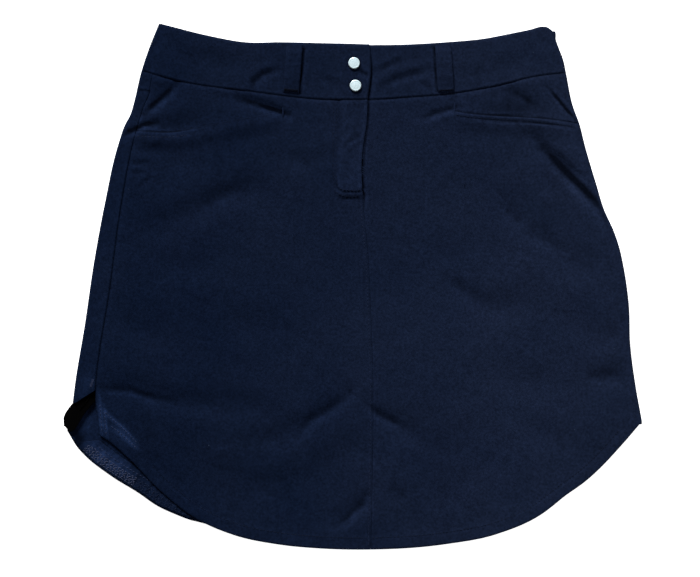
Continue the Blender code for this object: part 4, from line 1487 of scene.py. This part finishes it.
def make_snap(name, node, x, y):
    shape = bmesh.new()
    section = [shape.verts.new((radius * MM, 0, height * MM)) for radius, height in SNAP_SECTION]
    edges = [shape.edges.new(pair) for pair in zip(section[:-1], section[1:])]
    whole = {"angle": 2 * math.pi, "steps": SNAP_SIDES}
    bmesh.ops.spin(shape, geom=section + edges, cent=(0, 0, 0), axis=(0, 0, 1), **whole)
    bmesh.ops.remove_doubles(shape, verts=shape.verts[:], dist=0.01 * MM)
    bmesh.ops.recalc_face_normals(shape, faces=shape.faces[:])
    floor = float(band_left_top(x, y)) + LIE
    bmesh.ops.translate(shape, verts=shape.verts[:], vec=(x * MM, y * MM, floor * MM))
    mesh = bpy.data.meshes.new(name)
    shape.to_mesh(mesh)
    shape.free()
    mesh.materials.append(SNAP_ENAMEL)
    mesh.shade_smooth()
    ride(put(name, mesh), "snap_metal", node)


for snap in SNAPS:
    make_snap(*snap)
print("snap caps:", [name for name, *_ in SNAPS])

# %% [markdown]
# ## The inner short and the turned hem
#
# Each leg of the short is a flat tube. Only a corner of the left one shows, black, in the open
# vent. The hem of the back is turned up on the inside, and lies there as a strip of its own.

# %% Inner short
SHORT_FLOOR = FLOOR_CLOTH + SEAM
CROTCH = -20
FORK_X = 12
LEG_PART = 10
SHORT_DROP = 4


def make_leg(name, node, outer, hem, side):
    """A flat tube from the waist to the leg's hem; side is -1 for the left leg, 1 for the right."""
    half = SHORT_HEIGHT / 2

    def inner_line(y):
        part = HALF + LEG_PART / 2 * ease((CROTCH - y) / (CROTCH - hem(0.0)))
        return FORK_X + side * (part + half)

    edges = (shifted(outer, -side * half), inner_line)[::-side]
    top = shifted(band_seam, -SHORT_DROP)
    flat = plan(top, hem, *edges, spaced(0, 1, 60), crowded(270, 4))
    right_end, left_end = (
        turned(flat[:, column], spaced(0, math.pi, 6)[1:-1], way, half, SHORT_FLOOR + half, way)
        for column, way in ((-1, 1), (0, -1))
    )
    upper = raised(flat, SHORT_FLOOR + SHORT_HEIGHT)
    lower = raised(flat[:, ::-1], SHORT_FLOOR)
    sheet = np.concatenate([upper, right_end, lower, left_end], axis=1)
    shell(name, node, sheet, thick=KNIT, ring=True)


right_leg_side = shifted(right_fold, -RIGHT_LEG_INSET)
make_leg("short_leg_left", "shorts_left", leg_side, leg_hem, -1)
make_leg("short_leg_right", "shorts_right", right_leg_side, constant(LEG_HEM), 1)

# %% [markdown]
# ### The turned hem
#
# At the open vent the inside of the back shows, with its hem turned up. It is a strip that follows
# the edge at a constant depth, pressed flat, and slightly ruffled where the sewing draws it in.

# %% Turned hem
TURN_UP_WIDTH = 20.5
TURN_UP_FROM, TURN_UP_TO = -254, -140
TURN_UP_CLOTH = 0.5  # pressed flat and trimmed
TURN_UP_TOP = SHELL + TURN_UP_CLOTH + 0.1


def inset(x, edge, depth):
    """Points at right angles inwards from an edge, by one depth or by one for each point."""
    line = np.stack([x, edge(x)], axis=1)
    way = np.gradient(line, axis=0)
    way /= np.linalg.norm(way, axis=1)[:, None]
    return line + np.reshape(depth, (-1, 1)) * np.stack([-way[:, 1], way[:, 0]], axis=1)


def hem_line(depth, count, start=TURN_UP_FROM, end=TURN_UP_TO):
    """Points along the inside of the back's hem, a given depth in from its edge."""
    x = spaced(start, end, count)
    return inset(x, back_hem, depth * (0.15 + 0.85 * ease((x - TURN_UP_FROM) / 14)))


def cover_height(x, y):
    """The hem is ruffled by its sewing, in short waves along it."""
    along = 0.8 * x - 0.6 * y
    return TURN_UP_TOP + 1.6 * puckers(1.3 * along, 0 * x, 1) * ease((-125 - x) / 20)


def make_turned_hem():
    depths = TURN_UP_WIDTH - (TURN_UP_WIDTH - 1.0) * crowded(TURN_UP_WIDTH, 1.2)
    flat = np.stack([hem_line(depth, 90) for depth in depths])
    sheet = sewn(raised(flat, cover_height), top=0.55, bottom=0.3)
    # painted shade: darker along the strip's upper edge and in its ruffles' troughs, paler on their
    # crests
    edge = 0.15 * bell((TURN_UP_WIDTH - depths)[:, None], 1.5)
    painted_shading = edge - 1.2 * (sheet[..., 2] - TURN_UP_TOP) - wear_and_painted_light(flat[..., 0], flat[..., 1])
    shell("turned_hem", "hem_turn_up", sheet, painted_shading, TURN_UP_CLOTH)


make_turned_hem()

# %% [markdown]
# ### The zip
#
# The zip lies out of sight under the fly. Its solid already has the right shape, so it keeps it and
# only gets the woven finish.

# %% Zip tape
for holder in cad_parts["fly_zip"].material_slots:
    holder.material = TAPE_LOOK
zip_low, zip_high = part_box("fly_zip")
print("zip tape:", [round(v / MM) for v in zip_high - zip_low], "mm")

# %% [markdown]
# ## Stitching
#
# A stitch is a short piece of thread that comes out of the cloth and goes back in. Each one here is
# a small spindle that follows the surface, and a seam's stitches are joined into one mesh. The
# lines are offsets of the outlines, so the stitching stays parallel to its edge.

# %% Stitches
THREAD = 0.21  # radius
STITCH = 2.5
STITCH_GAP = 0.6
# Rings of a stitch: share of its length, and width and height in radii of the thread
SPINDLE = (
    (0.0, 0.3, -0.9), (0.16, 0.85, -0.1), (0.5, 1.0, 0.35), (0.84, 0.85, -0.1), (1.0, 0.3, -0.9),
)
SPINDLE_SIDES = 6


def walked(path, step):
    """Points at even steps along a path of x, y pairs."""
    path = np.array(path, float)
    lengths = np.concatenate([[0], np.cumsum(np.linalg.norm(np.diff(path, axis=0), axis=1))])
    count = max(2, int(lengths[-1] / step))
    at = np.linspace(0, lengths[-1], count)
    return np.stack([np.interp(at, lengths, values) for values in path.T], axis=1)


def spindle(start, end, height, radius):
    """Rings of points of one stitch between two places on the cloth."""
    way = end - start
    across = np.array([-way[1], way[0]]) / np.linalg.norm(way)
    along, width, lift = np.array(SPINDLE).T[..., None]
    middle = start + along * way
    level = height(*middle.T)[:, None] + lift * radius
    angles = spaced(0, 2 * math.pi, SPINDLE_SIDES)[:-1]
    rings = middle[:, None] + (radius * width * np.cos(angles))[..., None] * across
    return np.dstack([rings, level + radius * width * np.sin(angles)]).reshape(-1, 3)


def stitches(name, lines, height, finish, step=STITCH + STITCH_GAP, radius=THREAD):
    """One mesh with the stitches of several lines."""
    verts, faces = [], []
    for line in lines:
        marks = walked(line, step)
        for start, after in zip(marks[:-1], marks[1:]):
            end = start + (after - start) * STITCH / (STITCH + STITCH_GAP)
            first = len(verts)
            verts.extend(spindle(start, end, height, radius))
            for ring in range(len(SPINDLE) - 1):
                for k in range(SPINDLE_SIDES):
                    a = first + ring * SPINDLE_SIDES + k
                    b = first + ring * SPINDLE_SIDES + (k + 1) % SPINDLE_SIDES
                    faces.append((a, b, b + SPINDLE_SIDES, a + SPINDLE_SIDES))
            tail = first + (len(SPINDLE) - 1) * SPINDLE_SIDES
            faces.append(tuple(range(first + SPINDLE_SIDES - 1, first - 1, -1)))
            faces.append(tuple(range(tail, tail + SPINDLE_SIDES)))
    mesh = bpy.data.meshes.new(name)
    mesh.from_pydata(np.array(verts) * MM, [], faces)
    mesh.materials.append(finish)
    mesh.shade_smooth()
    ride(put(name, mesh), "skirt_cloth")
    print(f"{name}: {len(verts) // (len(SPINDLE) * SPINDLE_SIDES)} stitches")


# %% [markdown]
# Most of these rows are navy on navy and hardly seen from above, but they catch the light when one
# comes close, and they tell how the garment is made: two rows shape the fly's foot, one holds each
# pocket mouth and the hem, and a double row strengthens the corner at the vent.

# %% Rows on the front
def upright(rule, shift, low, high):
    """A line beside an upright edge, from one y to another."""
    y = spaced(low, high, 60)
    return np.stack([rule(y) + shift, y], axis=1)


def level_line(rule, shift, start, end):
    """A line beside a level edge, from one x to another."""
    x = spaced(start, end, 80)
    return np.stack([x, rule(x) + shift], axis=1)


def hem_row(start, end):
    """The row that holds the front's hem."""
    return inset(spaced(start, end, 160), front_hem, HEM_LINE)


FLY_J = (
    (-14.0, 165.0), (-15.0, 140.0), (-14.9, 109.4), (-14.4, 94.0), (-12.8, 89.0), (-9.6, 86.8),
    (-1.0, 86.2), (7.6, 86.6),
)
FLY_J_OUTER = (
    (-16.6, 165.0), (-17.6, 140.0), (-17.5, 109.0), (-16.8, 92.0), (-15.0, 84.8), (-10.0, 81.8),
    (-4.0, 80.9), (6.4, 81.3),
)
VENT_ROWS = (
    ((-227.2, -106), (-226.8, -116), (-225.8, -131.5)),
    ((-223.2, -113), (-222.8, -121), (-221.8, -134)),
    ((-222.6, -113), (-216, -119.5), (-209.3, -124.8), (-201, -133), (-194, -141)),
    ((-217.4, -125.9), (-211, -130.4), (-204.9, -135.6), (-194.1, -145.9)),
)
for name, lines, height, finish in (
    ("fly", (FLY_J, FLY_J_OUTER), front_left_top, CLOTH_THREAD),
    ("centre", (upright(centre, -2.5, -233, FLY_FOOT - 12),), front_left_top, NAVY_THREAD),
    ("pocket_left", (level_line(left_mouth, -5.4, -194, -148),), front_left_top, NAVY_THREAD),
    ("pocket_right", (level_line(right_mouth, -3.7, 93, 196),), front_right_top, CLOTH_THREAD),
    ("hem_left", (hem_row(-188, 14),), front_left_top, CLOTH_THREAD),
    ("hem_right", (hem_row(18, 248),), front_right_top, CLOTH_THREAD),
):
    stitches("stitching_" + name, lines, height, finish)
stitches("stitching_vent", VENT_ROWS, front_left_top, LIT_THREAD, step=STITCH + 0.35, radius=0.3)

# %% [markdown]
# The inside of the back's hem shows at the vent. It is sewn with a cover seam: straight rows, and
# looper threads that zigzag between them. Towards the vent, where the light catches them, the
# threads are pale as a painted highlight; further on the same threads are navy. Bar tacks, the
# dense little zigzags that hold a loop's end or a vent's top, are made with the same stitch, turned
# across the line and set close.

# %% Rows on the inside and bar tacks
COVER_ROWS = (3.2, 6.8, 10.6)
COVER_UPPER = 14.4  # a plain row above the cover seam
COVER_STEP = 2.3
COVER_FROM, COVER_MIDDLE, COVER_TO = -245.0, -199.0, -146.0


def zigzag(depth, width, start, end):
    """A looper thread: it crosses from one row to the next and back, all along the hem."""
    near = walked(hem_line(depth, 60, start, end), COVER_STEP)
    far = walked(hem_line(depth + width, 60, start, end), COVER_STEP)
    count = min(len(near), len(far))
    lines = []
    for k in range(count - 1):
        lines.append((near[k], far[k + 1]) if k % 2 else (far[k], near[k + 1]))
    return lines


def cover_seam(start, end):
    """All threads of the cover seam between two places along the hem."""
    threads = [hem_line(depth, 60, start, end) for depth in COVER_ROWS]
    for depth, after in zip(COVER_ROWS[:-1], COVER_ROWS[1:]):
        threads.extend(zigzag(depth, after - depth, start, end))
    return threads


def tack(middle, along, width, count, spacing):
    """The short lines of a bar tack, side by side."""
    middle, along = np.array(middle, float), np.array(along, float)
    along = along / np.linalg.norm(along)
    across = np.array([-along[1], along[0]])
    lines = []
    for k in range(count):
        place = middle + (k - (count - 1) / 2) * spacing * along
        lines.append((place - across * width / 2, place + across * width / 2))
    return lines


upper_row = hem_line(COVER_UPPER, 60, COVER_FROM + 6, COVER_MIDDLE + 10)
# painted highlight: the cover seam is pale up to its middle and navy beyond, and the row above it
# lit
for name, lines, finish, radius in (
    ("", cover_seam(COVER_FROM, COVER_MIDDLE), PAINTED_HIGHLIGHT_THREAD, 0.25),
    ("_upper", (upper_row,), LIT_THREAD, 0.25),
    ("_end", cover_seam(COVER_MIDDLE, COVER_TO), NAVY_THREAD, 0.2),
):
    stitches("stitching_cover" + name, lines, cover_height, finish, radius=radius)


def tack_on_loop(loop):
    """A bar tack across the lower end of a loop."""
    way = np.array(loop.upper) - np.array(loop.lower)
    way /= np.linalg.norm(way)
    across = np.array([-way[1], way[0]])
    middle = np.array(loop.lower) + (0.3 + loop.tack / 2) * way
    return tack(middle, across, loop.tack, 22, 0.58)


for loop in LOOPS:

    def on_loop(x, y, band_rule=BAND_TOPS[loop.band]):
        return band_rule(x, y) + LIE + LOOP_THICK + 0.1

    stitches("tack_" + loop.name, tack_on_loop(loop), on_loop, DARK_THREAD, step=5)

vent_tack = tack((-234.6, VENT_TOP + 6.2), (0.35, 1.0), 3.6, 12, 0.6)
stitches("tack_vent", vent_tack, front_top, LIT_THREAD, step=3.1)
